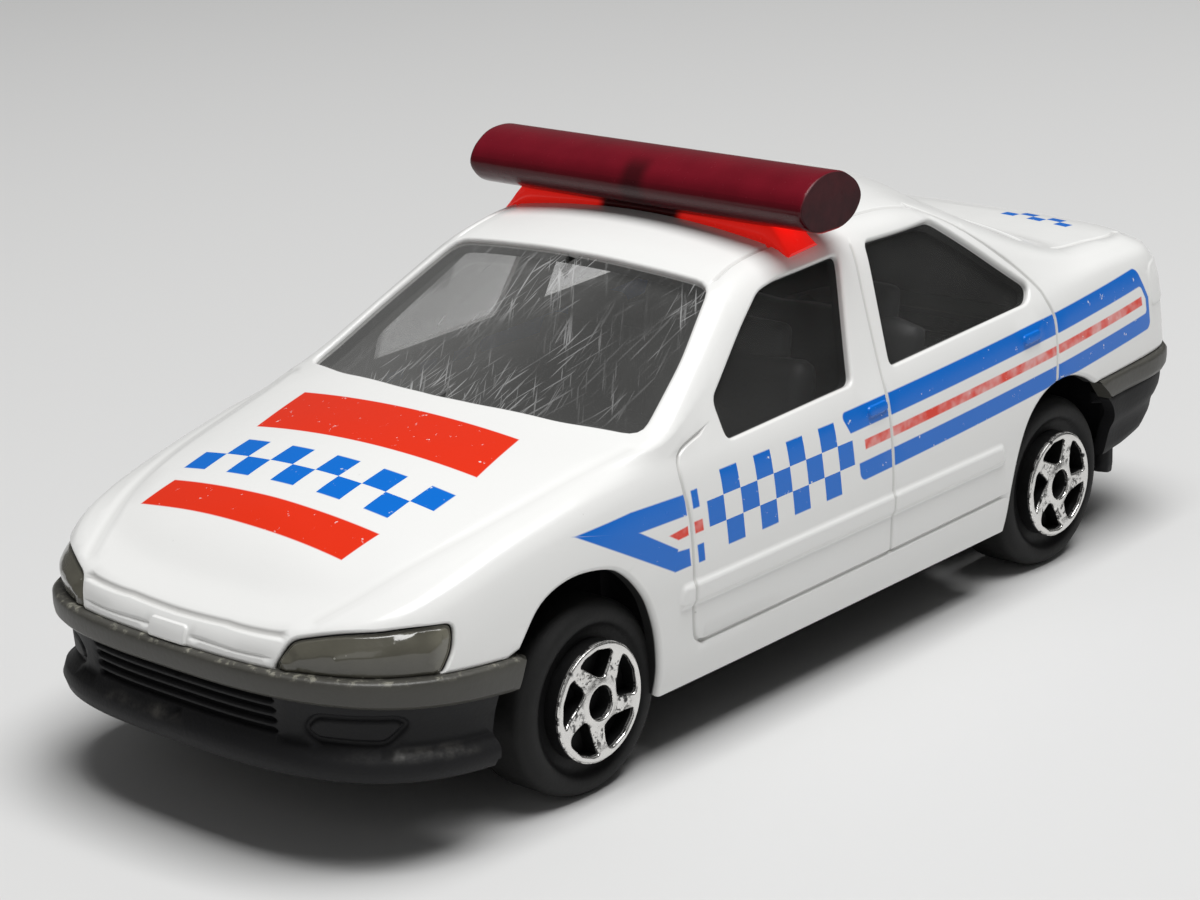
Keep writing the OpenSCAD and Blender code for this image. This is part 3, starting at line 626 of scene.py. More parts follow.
class Sweep(Sheet):
    """A profile drawn along the outline of the nose or the tail, from the middle round to the left."""

    run_step = 0.05

    def __init__(self, end, far_x, profile, low, high):
        cap = outline_at(NOSE_CAP if end > 0 else TAIL_CAP, np.linspace(0, 90, 121))
        side = outline_at(FLANK, np.linspace(cap[-1][0], far_x, 12)[1:])
        self.plan = np.array(cap + side)
        self.run = np.concatenate([[0], np.cumsum(np.linalg.norm(np.diff(self.plan, axis=0), axis=1))])
        self.profile = np.array(profile, float)
        self.low_z, self.high_z, self.way = low, high, end
        self.face = int(np.argmax(self.profile[:, 1] >= 0.02))
        tall = high(far_x) - low(far_x)
        true = self.profile * (1, tall)
        self.rise = np.concatenate([[0], np.cumsum(np.linalg.norm(np.diff(true, axis=0), axis=1))])
        if end > 0:
            super().__init__((0, 0), (self.run[-1], self.rise[-1]))
        else:
            super().__init__((-self.run[-1], 0), (0, self.rise[-1]))

    def point(self, flat):
        flat = np.asarray(flat, float)
        s = np.abs(flat[:, 0])
        over = flat[:, 0] * self.way < 0
        x, y = (np.interp(s, self.run, self.plan[:, k]) for k in (0, 1))
        ahead = []
        for k, mirror in ((0, 1), (1, -1)):
            after = np.interp(s + self.run_step, self.run, self.plan[:, k])
            before = np.interp(np.abs(s - self.run_step), self.run, self.plan[:, k])
            ahead.append(after - before * np.where(s < self.run_step, mirror, 1))
        size = np.hypot(*ahead)
        nx, ny = ahead[1] / size * self.way, -ahead[0] / size * self.way
        out, share = (np.interp(flat[:, 1], self.rise, self.profile[:, k]) for k in (0, 1))
        low = np.array([self.low_z(v) for v in x])
        high = np.array([self.high_z(v) for v in x])
        points = np.stack([x + nx * out, y + ny * out, mix(low, high, share)], 1)
        points[s < 1e-6, 1] = 0
        points[over, 1] *= -1
        return points

    def trim(self, relief, corners, edge):
        """Cuts the end off along (x, z) corners, given from the lower edge up, and returns the cut."""
        order = np.argsort(self.plan[:, 0])
        face = slice(self.face, len(self.rise) - 3)
        line = []
        for x, z in fine_line(corners, False, 0.5, 0.3):
            share = (z - self.low_z(x)) / (self.high_z(x) - self.low_z(x))
            if 0.03 < share < 0.97:
                s = np.interp(x, self.plan[order, 0], self.run[order]) * self.way
                line.append((s, np.interp(share, self.profile[face, 1], self.rise[face])))
        over = self.high[1] + 1
        line = np.array([(line[0][0], -1)] + line + [(line[-1][0], over)])
        far = self.high[0] + 1 if self.way > 0 else self.low[0] - 1
        relief.opening(line, edge, np.array([(far, over), (far, -1)]))
        return line

    def end_cap(self, solid, line):
        """Closes a hollow profile along the cut at its end, on both sides."""
        rows = np.linspace(0, self.high[1], 40)
        loop = self.point(np.stack([np.interp(rows, line[:, 1], line[:, 0]), rows], 1))
        normal = unit(np.cross(loop, np.roll(loop, -1, 0)).sum(0)[None])[0]
        around = list(range(len(loop)))
        if normal[0] * self.way > 0:
            around, normal = around[::-1], -normal
        for flip in (1, -1):
            turn = np.array((1, flip, 1))
            solid.add(loop * turn, [around[::flip]], [normal * turn] * len(loop))


class Flat(Sheet):
    """A level plate that faces up (way 1) or down (way -1), in mm."""

    def __init__(self, low, high, z, way):
        super().__init__(low, high)
        self.z, self.way = z, way

    def point(self, flat):
        flat = np.asarray(flat, float)
        return np.stack([flat[:, 0], flat[:, 1] * self.way, np.full(len(flat), self.z)], 1)


def ring(radius, count):
    """A circle of flat points."""
    angle = np.arange(count) * 2 * math.pi / count
    return np.stack([radius * np.cos(angle), radius * np.sin(angle)], 1)


def lathe(solid, profile, count):
    """Turns a profile of (radius, height) round the z axis; outwards is to the right of its run."""
    profile = np.array(profile, float)
    run = np.gradient(profile, axis=0)
    run /= np.maximum(np.linalg.norm(run, axis=1, keepdims=True), TINY)
    points, normals = [], []
    for k in range(count):
        c, s = math.cos(2 * math.pi * k / count), math.sin(2 * math.pi * k / count)
        for (r, z), (dr, dz) in zip(profile, run):
            points.append((r * c, r * s, z))
            normals.append((dz * c, dz * s, -dr))
    rows = len(profile)
    faces = []
    for k in range(count):
        a, b = k * rows, (k + 1) % count * rows
        for i in range(rows - 1):
            quad = [a + i, b + i, b + i + 1, a + i + 1]
            if profile[i][0] < TINY:
                quad = [a + i, b + i + 1, a + i + 1]
            elif profile[i + 1][0] < TINY:
                quad = [a + i, b + i, a + i + 1]
            faces.append(quad)
    solid.add(points, faces, np.array(normals))


def cushion(solid, centre, size, radius, tilt=0.0, crown=0.0, channels=0):
    """A rounded, slightly crowned block with pressed channels, leaning back by tilt degrees."""
    half = np.array(size) / 2
    core = np.maximum(half - radius, 1e-3)
    steps = 11
    grid = np.linspace(-1, 1, steps)
    points, faces = [], []
    for axis in range(3):
        for way in (-1, 1):
            first = len(points)
            for u in grid:
                for v in grid:
                    p = np.zeros(3)
                    p[axis], p[(axis + 1) % 3], p[(axis + 2) % 3] = way, u, v
                    points.append(p * half)
            for i in range(steps - 1):
                for j in range(steps - 1):
                    a, b = first + i * steps + j, first + (i + 1) * steps + j
                    quad = [a, b, b + 1, a + 1]
                    faces.append(quad if way > 0 else quad[::-1])
    points = np.array(points)
    inner = np.clip(points, -core, core)
    normal = unit(points - inner + TINY)
    points = inner + normal * radius
    lift = np.prod(1 - (points / half) ** 2 * 0.6, axis=1, keepdims=True)
    points = points + normal * crown * lift
    if channels:
        across = points[:, 1] / half[1] * (channels + 1) * math.pi / 2
        points -= normal * (0.18 * np.cos(across) ** 12)[:, None]
    lean = np.array(Matrix.Rotation(math.radians(tilt), 3, "Y"))
    solid.add(points @ lean.T + centre, faces, normal @ lean.T)


def tube(solid, path, radius, closed=False, sides=14):
    """A round rod along a path."""
    path = np.array(path, float)
    run = np.roll(path, -1, 0) - np.roll(path, 1, 0) if closed else np.gradient(path, axis=0)
    run = unit(run)
    guide = np.array((0.13, 0.97, 0.2))
    side = unit(np.cross(run, guide))
    up = np.cross(side, run)
    angle = np.arange(sides) * 2 * math.pi / sides
    normal = side[:, None] * np.cos(angle)[None, :, None] + up[:, None] * np.sin(angle)[None, :, None]
    points = (path[:, None] + normal * radius).reshape(-1, 3)
    rows = len(path)
    faces = []
    for k in range(rows if closed else rows - 1):
        a, b = k * sides, (k + 1) % rows * sides
        faces += [[a + i, b + i, b + (i + 1) % sides, a + (i + 1) % sides] for i in range(sides)]
    if not closed:
        faces += [list(range(sides)), list(range((rows - 1) * sides, rows * sides))[::-1]]
    solid.add(points, [f[::-1] for f in faces], normal.reshape(-1, 3))


class Wire:
    """A shader value; arithmetic with it adds Math nodes."""

    def __init__(self, finish, socket):
        self.finish, self.socket = finish, socket

    def __add__(self, other):
        return self.finish.math("ADD", self, other)

    def __sub__(self, other):
        return self.finish.math("SUBTRACT", self, other)

    def __rsub__(self, other):
        return self.finish.math("SUBTRACT", other, self)

    def __mul__(self, other):
        return self.finish.math("MULTIPLY", self, other)

    def __truediv__(self, other):
        return self.finish.math("DIVIDE", self, other)

    def __abs__(self):
        return self.finish.math("ABSOLUTE", self)

    def above(self, limit):
        return self.finish.math("GREATER_THAN", self, limit)

    def least(self, other):
        return self.finish.math("MINIMUM", self, other)

    def most(self, other):
        return self.finish.math("MAXIMUM", self, other)

    def wrap(self, size):
        return self.finish.math("FLOORED_MODULO", self, size)

    def root(self):
        return self.finish.math("SQRT", self)

    def ramp(self, low, high):
        """0 below low, 1 above high and eased between."""
        return self.finish.node("ShaderNodeMapRange", {"interpolation_type": "SMOOTHSTEP"},
                                {"Value": self, "From Min": low, "From Max": high}, "Result")

    __radd__ = __add__
    __rmul__ = __mul__


class Finish:
    """A procedural material in the making."""

    def __init__(self, name):
        self.material = bpy.data.materials.new(name)
        self.material.use_nodes = True
        self.tree = self.material.node_tree
        self.tree.nodes.clear()
        place = self.node("ShaderNodeTexCoord", {}, {}, "Object")
        self.place = self.node("ShaderNodeVectorMath", {"operation": "SCALE"},
                               {"Vector": place, "Scale": 1 / MM}, "Vector")
        self.x, self.y, self.z = (self.node("ShaderNodeSeparateXYZ", {}, {"Vector": self.place}, axis)
                                  for axis in "XYZ")

    def node(self, kind, settings, sockets, out=0):
        """One node: its settings come first, then the values or links of its sockets."""
        node = self.tree.nodes.new(kind)
        for name, value in settings.items():
            setattr(node, name, value)
        for name, value in sockets.items():
            if isinstance(value, Wire):
                self.tree.links.new(value.socket, node.inputs[name])
            else:
                if isinstance(value, (tuple, list)) and len(value) == 3 and node.inputs[name].type == "RGBA":
                    value = (*value, 1)
                node.inputs[name].default_value = value
        return Wire(self, node.outputs[out]) if out is not None else node

    def math(self, operation, *values):
        return self.node("ShaderNodeMath", {"operation": operation}, dict(enumerate(values)))

    def mix(self, share, a, b):
        """A colour between a and b."""
        return self.node("ShaderNodeMix", {"data_type": "RGBA"}, {"Factor": share, 6: a, 7: b}, 2)

    def noise(self, scale, detail=3.0, rough=0.5, stretch=(1, 1, 1)):
        """Cloudy values round 0.5, with scale features a mm."""
        at = self.node("ShaderNodeVectorMath", {"operation": "MULTIPLY"}, {0: self.place, 1: stretch},
                       "Vector")
        return self.node("ShaderNodeTexNoise", {},
                         {"Vector": at, "Scale": scale, "Detail": detail, "Roughness": rough}, "Fac")

    def specks(self, scale, size):
        """Small round spots: 1 in the middle of a spot."""
        gap = self.node("ShaderNodeTexVoronoi", {}, {"Vector": self.place, "Scale": scale}, "Distance")
        return 1 - gap.ramp(size * 0.5, size)

    def mark(self, name):
        """A value that the mesh carries at its points."""
        return self.node("ShaderNodeAttribute", {"attribute_name": name}, {}, "Fac")

    def bump(self, height, depth):
        """A normal from a height map of 0 to 1, over a depth in mm."""
        return self.node("ShaderNodeBump", {}, {"Height": height, "Strength": 1.0, "Distance": depth * MM},
                         "Normal")

    def done(self, **sockets):
        """Ends in one Principled shader with these sockets."""
        names = {k.replace("_", " "): v for k, v in sockets.items()}
        shader = self.node("ShaderNodeBsdfPrincipled", {}, names, 0)
        self.node("ShaderNodeOutputMaterial", {}, {"Surface": shader}, None)
        return self.material

    def inside(self, corners, u, v, soft=0.05):
        """1 inside a convex outline of (u, v) corners."""
        corners = np.array(corners, float)
        turn = 1 if area_of(corners) > 0 else -1
        gap = None
        for a, b in zip(corners, np.roll(corners, -1, axis=0)):
            nx, ny = np.array((-(b - a)[1], (b - a)[0])) / np.linalg.norm(b - a) * turn
            edge = u * float(nx) + v * float(ny) - float(nx * a[0] + ny * a[1])
            gap = edge if gap is None else gap.least(edge)
        return gap.ramp(-soft, soft)

    def band(self, value, low, high, soft=0.05):
        """1 where a value lies between two limits."""
        return (value - low).least(high - value).ramp(-soft, soft)

    def rounded(self, u, v, low, high, radius, soft=0.05):
        """1 inside a rectangle with round corners."""
        middle = [(a + b) / 2 for a, b in zip(low, high)]
        half = [(b - a) / 2 - radius for a, b in zip(low, high)]
        du, dv = (abs(w - m) - h for w, m, h in zip((u, v), middle, half))
        gap = (du.most(0) * du.most(0) + dv.most(0) * dv.most(0)).root() + du.most(dv).least(0) - radius
        return 1 - gap.ramp(-soft, soft)

    def chequer(self, u, v, low, high, cell):
        """1 on every second square of a chequered field."""
        odd_u = ((u - low[0]) / cell[0]).wrap(2).above(1)
        odd_v = ((v - low[1]) / cell[1]).wrap(2).above(1)
        low, high = np.array(low) + 0.06, np.array(high) - 0.06
        field = self.inside([low, (high[0], low[1]), high, (low[0], high[1])], u, v)
        return abs(odd_u - odd_v) * field


def tint(name, about, value):
    """A colour that the user can change."""
    return FloatVectorProperty(name=name, description=about, subtype="COLOR", size=3, min=0, max=1,
                               default=value)


def length(name, about, value):
    """A small length in mm that the user can change."""
    return FloatProperty(name=name, description=about + ", in mm", min=0, max=10, default=value)


class ToyCarFinish(bpy.types.PropertyGroup):
    """Colours of the car."""
    paint: tint("Paint", "Enamel of the cast body", (0.84, 0.84, 0.825))
    blue: tint("Blue print", "Stripes and chequers", (0.0, 0.15, 0.62))
    red: tint("Red print", "Stripes and bonnet bars", (0.76, 0.03, 0.006))
    base: tint("Base plastic", "Lower bumpers and floor", (0.011, 0.011, 0.012))
    strip: tint("Strip plastic", "Bumper strips", (0.06, 0.058, 0.05))
    lamp: tint("Lamp plastic", "Smoked headlamps", (0.105, 0.1, 0.078))
    glass: tint("Window tint", "Clear plastic of the windows", (0.2, 0.2, 0.195))
    cabin: tint("Cabin plastic", "Seats and dashboard", (0.012, 0.012, 0.013))
    beacon: tint("Light bar", "Red plastic of the light bar", (0.15, 0.004, 0.012))
    tyre: tint("Wheel plastic", "Tyres and wheel centres", (0.003, 0.003, 0.0032))
    foil: tint("Wheel foil", "Bright foil on the wheel faces", (0.78, 0.77, 0.75))


class ToyCarSizes(bpy.types.PropertyGroup):
    """Small sizes of the relief and the set."""
    groove_half: length("Groove half width", "Half width of the shut lines", 0.19)
    groove_depth: length("Groove depth", "Depth of the shut lines", 0.17)
    opening_edge: length("Opening edge", "Rounding round the windows", 0.22)
    glass_depth: length("Glass depth", "From the paint to the window glass", 0.28)
    glass_wall: length("Glass thickness", "Thickness of the window glass", 0.8)
    mesh_step: length("Mesh step", "Usual length of a mesh edge", 0.85)


SKIN = Skin()
# A step over the middle plane, where the flat places of the left half end
OVER_MIDDLE = (0, 1)
# Rounded edges, and (half width, depth) of the grooves that aren't shut lines
HEM_EDGE, HEM_INSET, LAMP_EDGE = 0.26, 0.1, 0.14
GUTTER_GROOVE, BONNET_GROOVE = (0.22, 0.14), (0.75, 0.08)
LIP_GROOVE, STEP_GROOVE, LID_GROOVE = (0.32, 0.2), (0.16, 0.1), (0.22, 0.15)


def strip_top(x):
    """Height of the front strip's upper edge, at a number or a shader value."""
    return STRIP_Z + (x - STRIP_X) * STRIP_SLOPE


def rear_strip_top(x):
    """Height of the rear strip's upper edge."""
    return float(np.interp(x, (-34, -26), (11.5, 11.3)))


def strip_tall(x):
    """Height of the front strip, less at the middle of the nose."""
    return float(np.interp(x, (28, 38), (1.8, 1.4)))


def rear_strip_tall(x):
    """Height of the rear strip, the same at every x."""
    return 1.5


def rear_low(x):
    """Lower edge of the rear skirt, which rises towards the tail."""
    return float(np.interp(x, (-38.4, -36.4, -33.3, -30.8, -26), (8.3, 7.5, 6.2, 5.7, 5.2)))


def beyond(line):
    """Places further over the middle plane that close a line which ends there."""
    return np.array([line[-1] + OVER_MIDDLE, line[0] + OVER_MIDDLE])


def to_middle(line, low_end, high_end):
    """Lets a line run out over the middle plane at its ends, by the given steps."""
    return np.concatenate([[line[0] + low_end], line[1:-1], [line[-1] + high_end]])


def screen_line(corners):
    """The left edge of a window that crosses the middle of the car, run out over the middle."""
    return to_middle(SKIN.trace_above(corners, False, SCREEN_CORNER), OVER_MIDDLE, OVER_MIDDLE)


def lamp_line():
    """The edge of the left headlamp."""
    return SKIN.trace(LAMP, True, LAMP_CORNER, 0.35)


def leftward(loop):
    """A closed line that runs round its inside with the inside to its left."""
    return loop if area_of(loop) > 0 else loop[::-1]


def body_relief(sizes):
    """The painted casting with its windows, arches, shut lines and raised details."""
    relief = Relief(SKIN, sizes.mesh_step)
    edge = sizes.opening_edge
    for corners in (FRONT_WINDOW, REAR_WINDOW):
        relief.opening(SKIN.trace(corners, True, WINDOW_CORNER), edge)
    for corners in (WINDSCREEN, REAR_SCREEN):
        line = screen_line(corners)
        relief.opening(line, edge, beyond(line))
    relief.opening(lamp_line(), LAMP_EDGE)
    # the lower edge: front arch and nose, then tail and rear arch
    arch = SKIN.trace(curve_line(FRONT_ARCH[::-1]), False, 0, 0.4)
    wing = SKIN.near(nose_line())
    front = np.concatenate([[(arch[0][0], -1)], arch[1:], wing, [wing[-1] + (-1, 0)]])
    relief.opening(front, HEM_EDGE, np.array([(-1.0, -1.0)]))
    arch = SKIN.trace(curve_line(REAR_ARCH[::-1]), False, 0, 0.4)
    tail = SKIN.near(tail_line())
    rear = np.concatenate([[tail[0] + (1, 0)], tail, arch[:-1], [(arch[-1][0], -1)]])
    relief.opening(rear, HEM_EDGE, np.array([(SKIN.high[0] + 1, -1.0)]))
    half, deep = sizes.groove_half, sizes.groove_depth
    for corners in (FRONT_DOOR, DOOR_SPLIT, REAR_DOOR):
        relief.groove(SKIN.trace(curve_line(corners)), half, deep)
    relief.groove(SKIN.trace(DOOR_FOOT), half, deep)
    relief.groove(SKIN.trace_above(curve_line(GUTTER)), *GUTTER_GROOVE)
    relief.groove(SKIN.trace(curve_line(BONNET_EDGE)), *BONNET_GROOVE)
    body_details(relief)
    return relief


def body_details(relief):
    """Raised and sunk details: moulding, handles, nose panel, boot and tail."""
    moulding = [(15.4, 8.95), (15.2, 10.1), (-15.1, 10.1), (-15.4, 8.95)]
    relief.pad(SKIN.trace(moulding, True, 0.3, 0.6), 0.22, 0.5)
    for x, z in ((-3.1, 15.35), (-19, 15.85)):
        handle = [(x + 0.9, z - 0.28), (x + 0.9, z + 0.3), (x - 0.9, z + 0.36), (x - 0.9, z - 0.22)]
        relief.pad(SKIN.trace(handle, True, 0.25, 0.2), 0.2, 0.16)
    # the nose: a lip over the panel between the lamps, with a small plain badge pad in its middle
    lip = SKIN.near([(37.0, 7.2, 12.55), (37.3, 3.6, 12.49), (37.46, 0, 12.41)])
    relief.groove(fine_line(to_middle(lip, (0, 0), (-1, 0)), False, 0, 0.4), *LIP_GROOVE)
    step = SKIN.near([(37.8, 6.6, 11.45), (38.2, 1.7, 11.55)])
    relief.groove(fine_line(step, False, 0, 0.4), *STEP_GROOVE)
    low, high = SKIN.near([(38.3, 1.4, 10.95), (38.0, 1.4, 12.0)])
    pad = np.array([(-1, low[1]), (low[0], low[1]), (low[0], high[1]), (-1, high[1])])
    relief.pad(fine_line(pad, True, 0.25, 0.3), 0.2, 0.2)
    # the tail: boot lid, lamp panels and a plate recess
    lid = SKIN.near([(-26.9, 11.3, 19.4), (-30, 11.4, 19.2), (-34, 11.2, 19), (-36.4, 10.4, 18.3),
                     (-37.7, 9.3, 16.5), (-38.1, 8.7, 14.6)])
    relief.groove(fine_line(lid, False, 0.6, 0.4), *LID_GROOVE)
    lid_foot = SKIN.near([(-38.1, 8.7, 14.6), (-38.3, 0, 14.6)])
    relief.groove(fine_line(to_middle(lid_foot, (0, 0), (1, 0)), False, 0, 0.4), *LID_GROOVE)
    lamp = SKIN.near([(-38.1, 8.9, 15.0), (-37.2, 9.4, 17.4), (-33.6, 14, 17.2), (-33.4, 14.6, 14.6),
                      (-37.2, 11.5, 14.4)])
    relief.pad(fine_line(lamp, True, 0.5, 0.4), 0.09, 0.3)
    near, far = SKIN.near([(-38.4, 4.6, 12.4), (-38.4, 4.6, 14.1)])
    end = SKIN.high[0] + 1
    plate = np.array([(end, near[1]), (end, far[1]), (far[0], far[1]), (near[0], near[1])])
    relief.pad(fine_line(plate, True, 0.3, 0.4), -0.2, 0.25)


def nose_line():
    """Points along the top of the front strip, from the arch round to the middle of the nose."""
    plan = outline_at(NOSE_CAP, np.linspace(88, 0, 60), HEM_INSET)
    arch_end_x = 27.7
    return [(x, y, strip_top(x)) for x, y in plan if x > arch_end_x]


def tail_line():
    """Points along the top of the rear strip, from the middle of the tail round to the arch."""
    plan = outline_at(TAIL_CAP, np.linspace(0, 90, 60), HEM_INSET)
    plan += outline_at(FLANK, np.arange(-29.6, -26.5, 0.4), HEM_INSET)
    return [(x, y, rear_strip_top(x)) for x, y in plan]


def paint_finish(colours):
    """White enamel with the printed livery, dust and rubbed edges, and painted shade in the grooves, on the
    walls of the openings and over the inner side.
    """
    f = Finish("enamel")
    print_wear = f.noise(1.6, 6, 0.7).ramp(0.3, 0.36)
    blue, red = livery(f)
    groove = f.mark("engraved")
    whole = (1 - groove.ramp(0.1, 0.5)) * print_wear
    dust = f.specks(0.55, 0.05) * f.noise(0.3).ramp(0.45, 0.6)
    base = f.mix(f.noise(0.12, 4) * 0.5, tuple(colours.paint), tuple(c * 0.95 for c in colours.paint))
    base = f.mix(dust * 0.5, base, (0.3, 0.29, 0.27))
    # painted shade: the paint is darker down in the grooves
    base = f.mix(groove.ramp(0.2, 1) * 0.35, base, (0.25, 0.24, 0.22))
    # the mark falls to -1 at the wall's inner side: painted shade, dark from the edge of the arches on,
    # deeper in at windows, and dark over the whole inner side
    inside = ((0 - groove).ramp(0.02, 0.25) * (1 - f.z.ramp(13, 13.3))).most((0 - groove).ramp(0.26, 0.34))
    base = f.mix(inside, base, (0.01, 0.01, 0.01))
    rubbed = 1 - f.noise(0.9, 2).ramp(0.3, 0.8) * abs(f.y).ramp(12.3, 12.6) * 0.5
    base = f.mix(red * whole * rubbed, base, tuple(colours.red))
    base = f.mix(blue * whole, base, tuple(colours.blue))
    rough = 0.16 + f.noise(0.4, 4) * 0.14 + dust * 0.3 + inside * 0.4
    peel = f.noise(0.9, 2) * 0.6 + f.noise(5, 2) * 0.1
    return f.done(Base_Color=base, Roughness=rough, Normal=f.bump(peel, 0.012), Specular_IOR_Level=0.4,
                  Coat_Weight=0.08, Coat_Roughness=0.08)


def livery(f):
    """Masks of the blue and the red print, on both sides and from above."""
    side = abs(f.y).ramp(12.3, 12.6) * (1 - f.z.ramp(18.2, 18.4))
    top = 1 - abs(f.y).ramp(11.2, 11.4)
    back = -2.5 - f.x
    rise = f.z - 13.7 - back * 0.0375 - back * (back - 12.8) * 0.00076
    along = f.x - rise.most(0) * 0.5
    loop = f.rounded(along, rise, (-33.1, -2.0), (-0.9, 2.25), 0.5) * (
        1 - f.rounded(along, rise, (-32.7, -0.92), (3, 0.97), 0.25))
    arrow = f.inside([(22.7, 15), (18.5, 15.2), (14.3, 15.05), (14.3, 13.9), (18.5, 14)], f.x, f.z)
    arrow = arrow.most(f.inside([(22.7, 15), (18.3, 14.1), (15.3, 12.3), (15.7, 11.13)], f.x, f.z))
    arrow = arrow.most(f.inside([(15.45, 12.19), (14.4, 12.1), (14.4, 11.13), (15.77, 11.13)], f.x, f.z))
    starts = f.band(f.x, 13.2, 13.75) * f.band(f.z, 14.1, 15.1).most(f.band(f.z, 11.1, 12.1))
    doors = f.chequer(f.x, f.z, (-0.55, 11.35), (12.65, 15.65), (1.4667, 1.4333))
    blue = side * loop.most(arrow).most(starts).most(doors)
    tongue = f.inside([(15.9, 13.2), (14.35, 13.33), (14.35, 12.81), (15.2, 12.78)], f.x, f.z)
    tongue = tongue.most(f.band(f.x, 13.1, 13.8) * f.band(f.z, 12.75, 13.4))
    red_side = side * (f.band(rise, -0.28, 0.29) * f.band(f.x, -32.2, -1.6)).most(tongue)
    bonnet = f.chequer(f.x, f.y, (25.4, -8.8), (28.9, 8.8), (1.75, 1.76))
    deck = f.chequer(f.x, f.y, (-33.9, 3.6), (-32.1, 8.8), (0.9, 1.04))
    bars = f.inside([(19.5, -8.8), (19.4, 7.7), (23.6, 8.5), (24, -8)], f.x, f.y)
    bars = bars.most(f.inside([(30, -8.2), (30, 7.6), (32.3, 7.1), (32.1, -8.7)], f.x, f.y))
    return blue.most(top * bonnet.most(deck * f.z.ramp(18, 18.2))), red_side.most(top * bars)


class TOYCAR_OT_body(bpy.types.Operator):
    """Casts the painted body with its windows, shut lines and livery"""
    bl_idname = "toycar.body"
    bl_label = "Body"

    def execute(self, context):
        scene = context.scene
        body = Solid()
        body.shell(body_relief(scene.toycar_sizes), WALL, True)
        body.piece("painted_body", "car", "body_paint", paint_finish(scene.toycar_finish), ("body_shell",))
        return {"FINISHED"}


# The photograph's camera and the studio, in mm, degrees and watts
CAMERA_PLACE = (130.74, 113.29, 66.65)
CAMERA_YAW, CAMERA_PITCH, CAMERA_ROLL = -138.12, -17.79, -2.27
CAMERA_LENS, CAMERA_SENSOR = 90.39, 36
CAMERA_CLIP = (5, 10000)
SKY_STRENGTH = 0.1
FLOOR_TONE = (0.66, 0.66, 0.655)
FLOOR_REACH = 2500
# Name, place, target, size and power
LIGHTS = (("ceiling_light", (-10, 120, 620), (0, 0, 0), 400, 4.75),
          ("front_light", (330, 160, 200), (0, 0, 10), 200, 0.08))


def photo_camera():
    """The camera of the photograph, whose frame is 1200 x 900."""
    place = Vector(CAMERA_PLACE)
    yaw, pitch, roll = (math.radians(a) for a in (CAMERA_YAW, CAMERA_PITCH, CAMERA_ROLL))
    ahead = Vector((math.cos(pitch) * math.cos(yaw), math.cos(pitch) * math.sin(yaw), math.sin(pitch)))
    right = ahead.cross(Vector((0, 0, 1))).normalized()
    up = right.cross(ahead)
    right, up = right * math.cos(roll) + up * math.sin(roll), up * math.cos(roll) - right * math.sin(roll)
    turn = Matrix((right, up, -ahead)).transposed()
    camera = bpy.data.objects.new("photo_camera", bpy.data.cameras.new("photo_camera"))
    camera.matrix_world = Matrix.Translation(place * MM) @ turn.to_4x4()
    camera.data.sensor_fit = "HORIZONTAL"
    camera.data.sensor_width, camera.data.lens = CAMERA_SENSOR, CAMERA_LENS
    camera.data.clip_start, camera.data.clip_end = (limit * MM for limit in CAMERA_CLIP)
    return camera


def soft_light(name, place, target, size, power):
    """A square soft light, in mm and watts."""
    lamp = bpy.data.lights.new(name, "AREA")
    lamp.shape, lamp.size, lamp.energy = "SQUARE", size * MM, power
    light = bpy.data.objects.new(name, lamp)
    light.location = Vector(place) * MM
    light.rotation_euler = (Vector(target) - Vector(place)).to_track_quat("-Z", "Y").to_euler()
    bpy.context.scene.collection.objects.link(light)


class TOYCAR_OT_stage(bpy.types.Operator):
    """Sets the floor, the soft lights and the photograph's camera"""
    bl_idname = "toycar.stage"
    bl_label = "Stage"

    def execute(self, context):
        scene = context.scene
        scene.view_settings.view_transform = "Standard"
        world = scene.world or bpy.data.worlds.new("studio")
        scene.world = world
        world.use_nodes = True
        sky = world.node_tree.nodes["Background"]
        sky.inputs["Color"].default_value = (1, 1, 1, 1)
        sky.inputs["Strength"].default_value = SKY_STRENGTH
        mesh = bpy.data.meshes.new("floor")
        reach = FLOOR_REACH * MM
        corners = [(x * reach, y * reach, 0) for x, y in ((-1, -1), (1, -1), (1, 1), (-1, 1))]
        mesh.from_pydata(corners, [], [(0, 1, 2, 3)])
        f = Finish("pale_floor")
        tone = f.mix(f.noise(0.05, 2) * 0.1, FLOOR_TONE, tuple(c * 0.96 for c in FLOOR_TONE))
        mesh.materials.append(f.done(Base_Color=tone, Roughness=0.7))
        floor = bpy.data.objects.new("floor", mesh)
        scene.collection.objects.link(floor)
        for light in LIGHTS:
            soft_light(*light)
        camera = photo_camera()
        scene.collection.objects.link(camera)
        scene.camera = camera
        return {"FINISHED"}


# How far the panes reach under the edges of the openings, and their mesh step, in mm
PANE_LAP, PANE_STEP = 0.03, 1.1


class TOYCAR_OT_windows(bpy.types.Operator):
    """Sets the clear plastic panes behind the window openings"""
    bl_idname = "toycar.windows"
    bl_label = "Windows"

    def execute(self, context):
        scene = context.scene
        sizes = scene.toycar_sizes
        pane = Inset(SKIN, sizes.glass_depth)
        glass = Solid()
        plain = Relief(SKIN, sizes.mesh_step)
        for corners in (FRONT_WINDOW, REAR_WINDOW):
            edge = plain.beside(leftward(SKIN.trace(corners, True, WINDOW_CORNER)), True, -PANE_LAP)
            half = Solid()
            half.shell(Relief(pane, PANE_STEP, edge), sizes.glass_wall)
            for way in SIDES.values():
                glass.join(half, way)
        for corners in (WINDSCREEN, REAR_SCREEN):
            line = screen_line(corners)
            turn = 1 if area_of(np.concatenate([line, beyond(line)])) > 0 else -1
            line = plain.beside(line, False, -PANE_LAP * turn)
            edge = np.concatenate([line, beyond(line)])
            glass.shell(Relief(pane, PANE_STEP, edge), sizes.glass_wall, True)
        finish = glass_finish(scene.toycar_finish)
        glass.piece("window_panes", "car", "window_clear", finish, ("window_insert",))
        return {"FINISHED"}


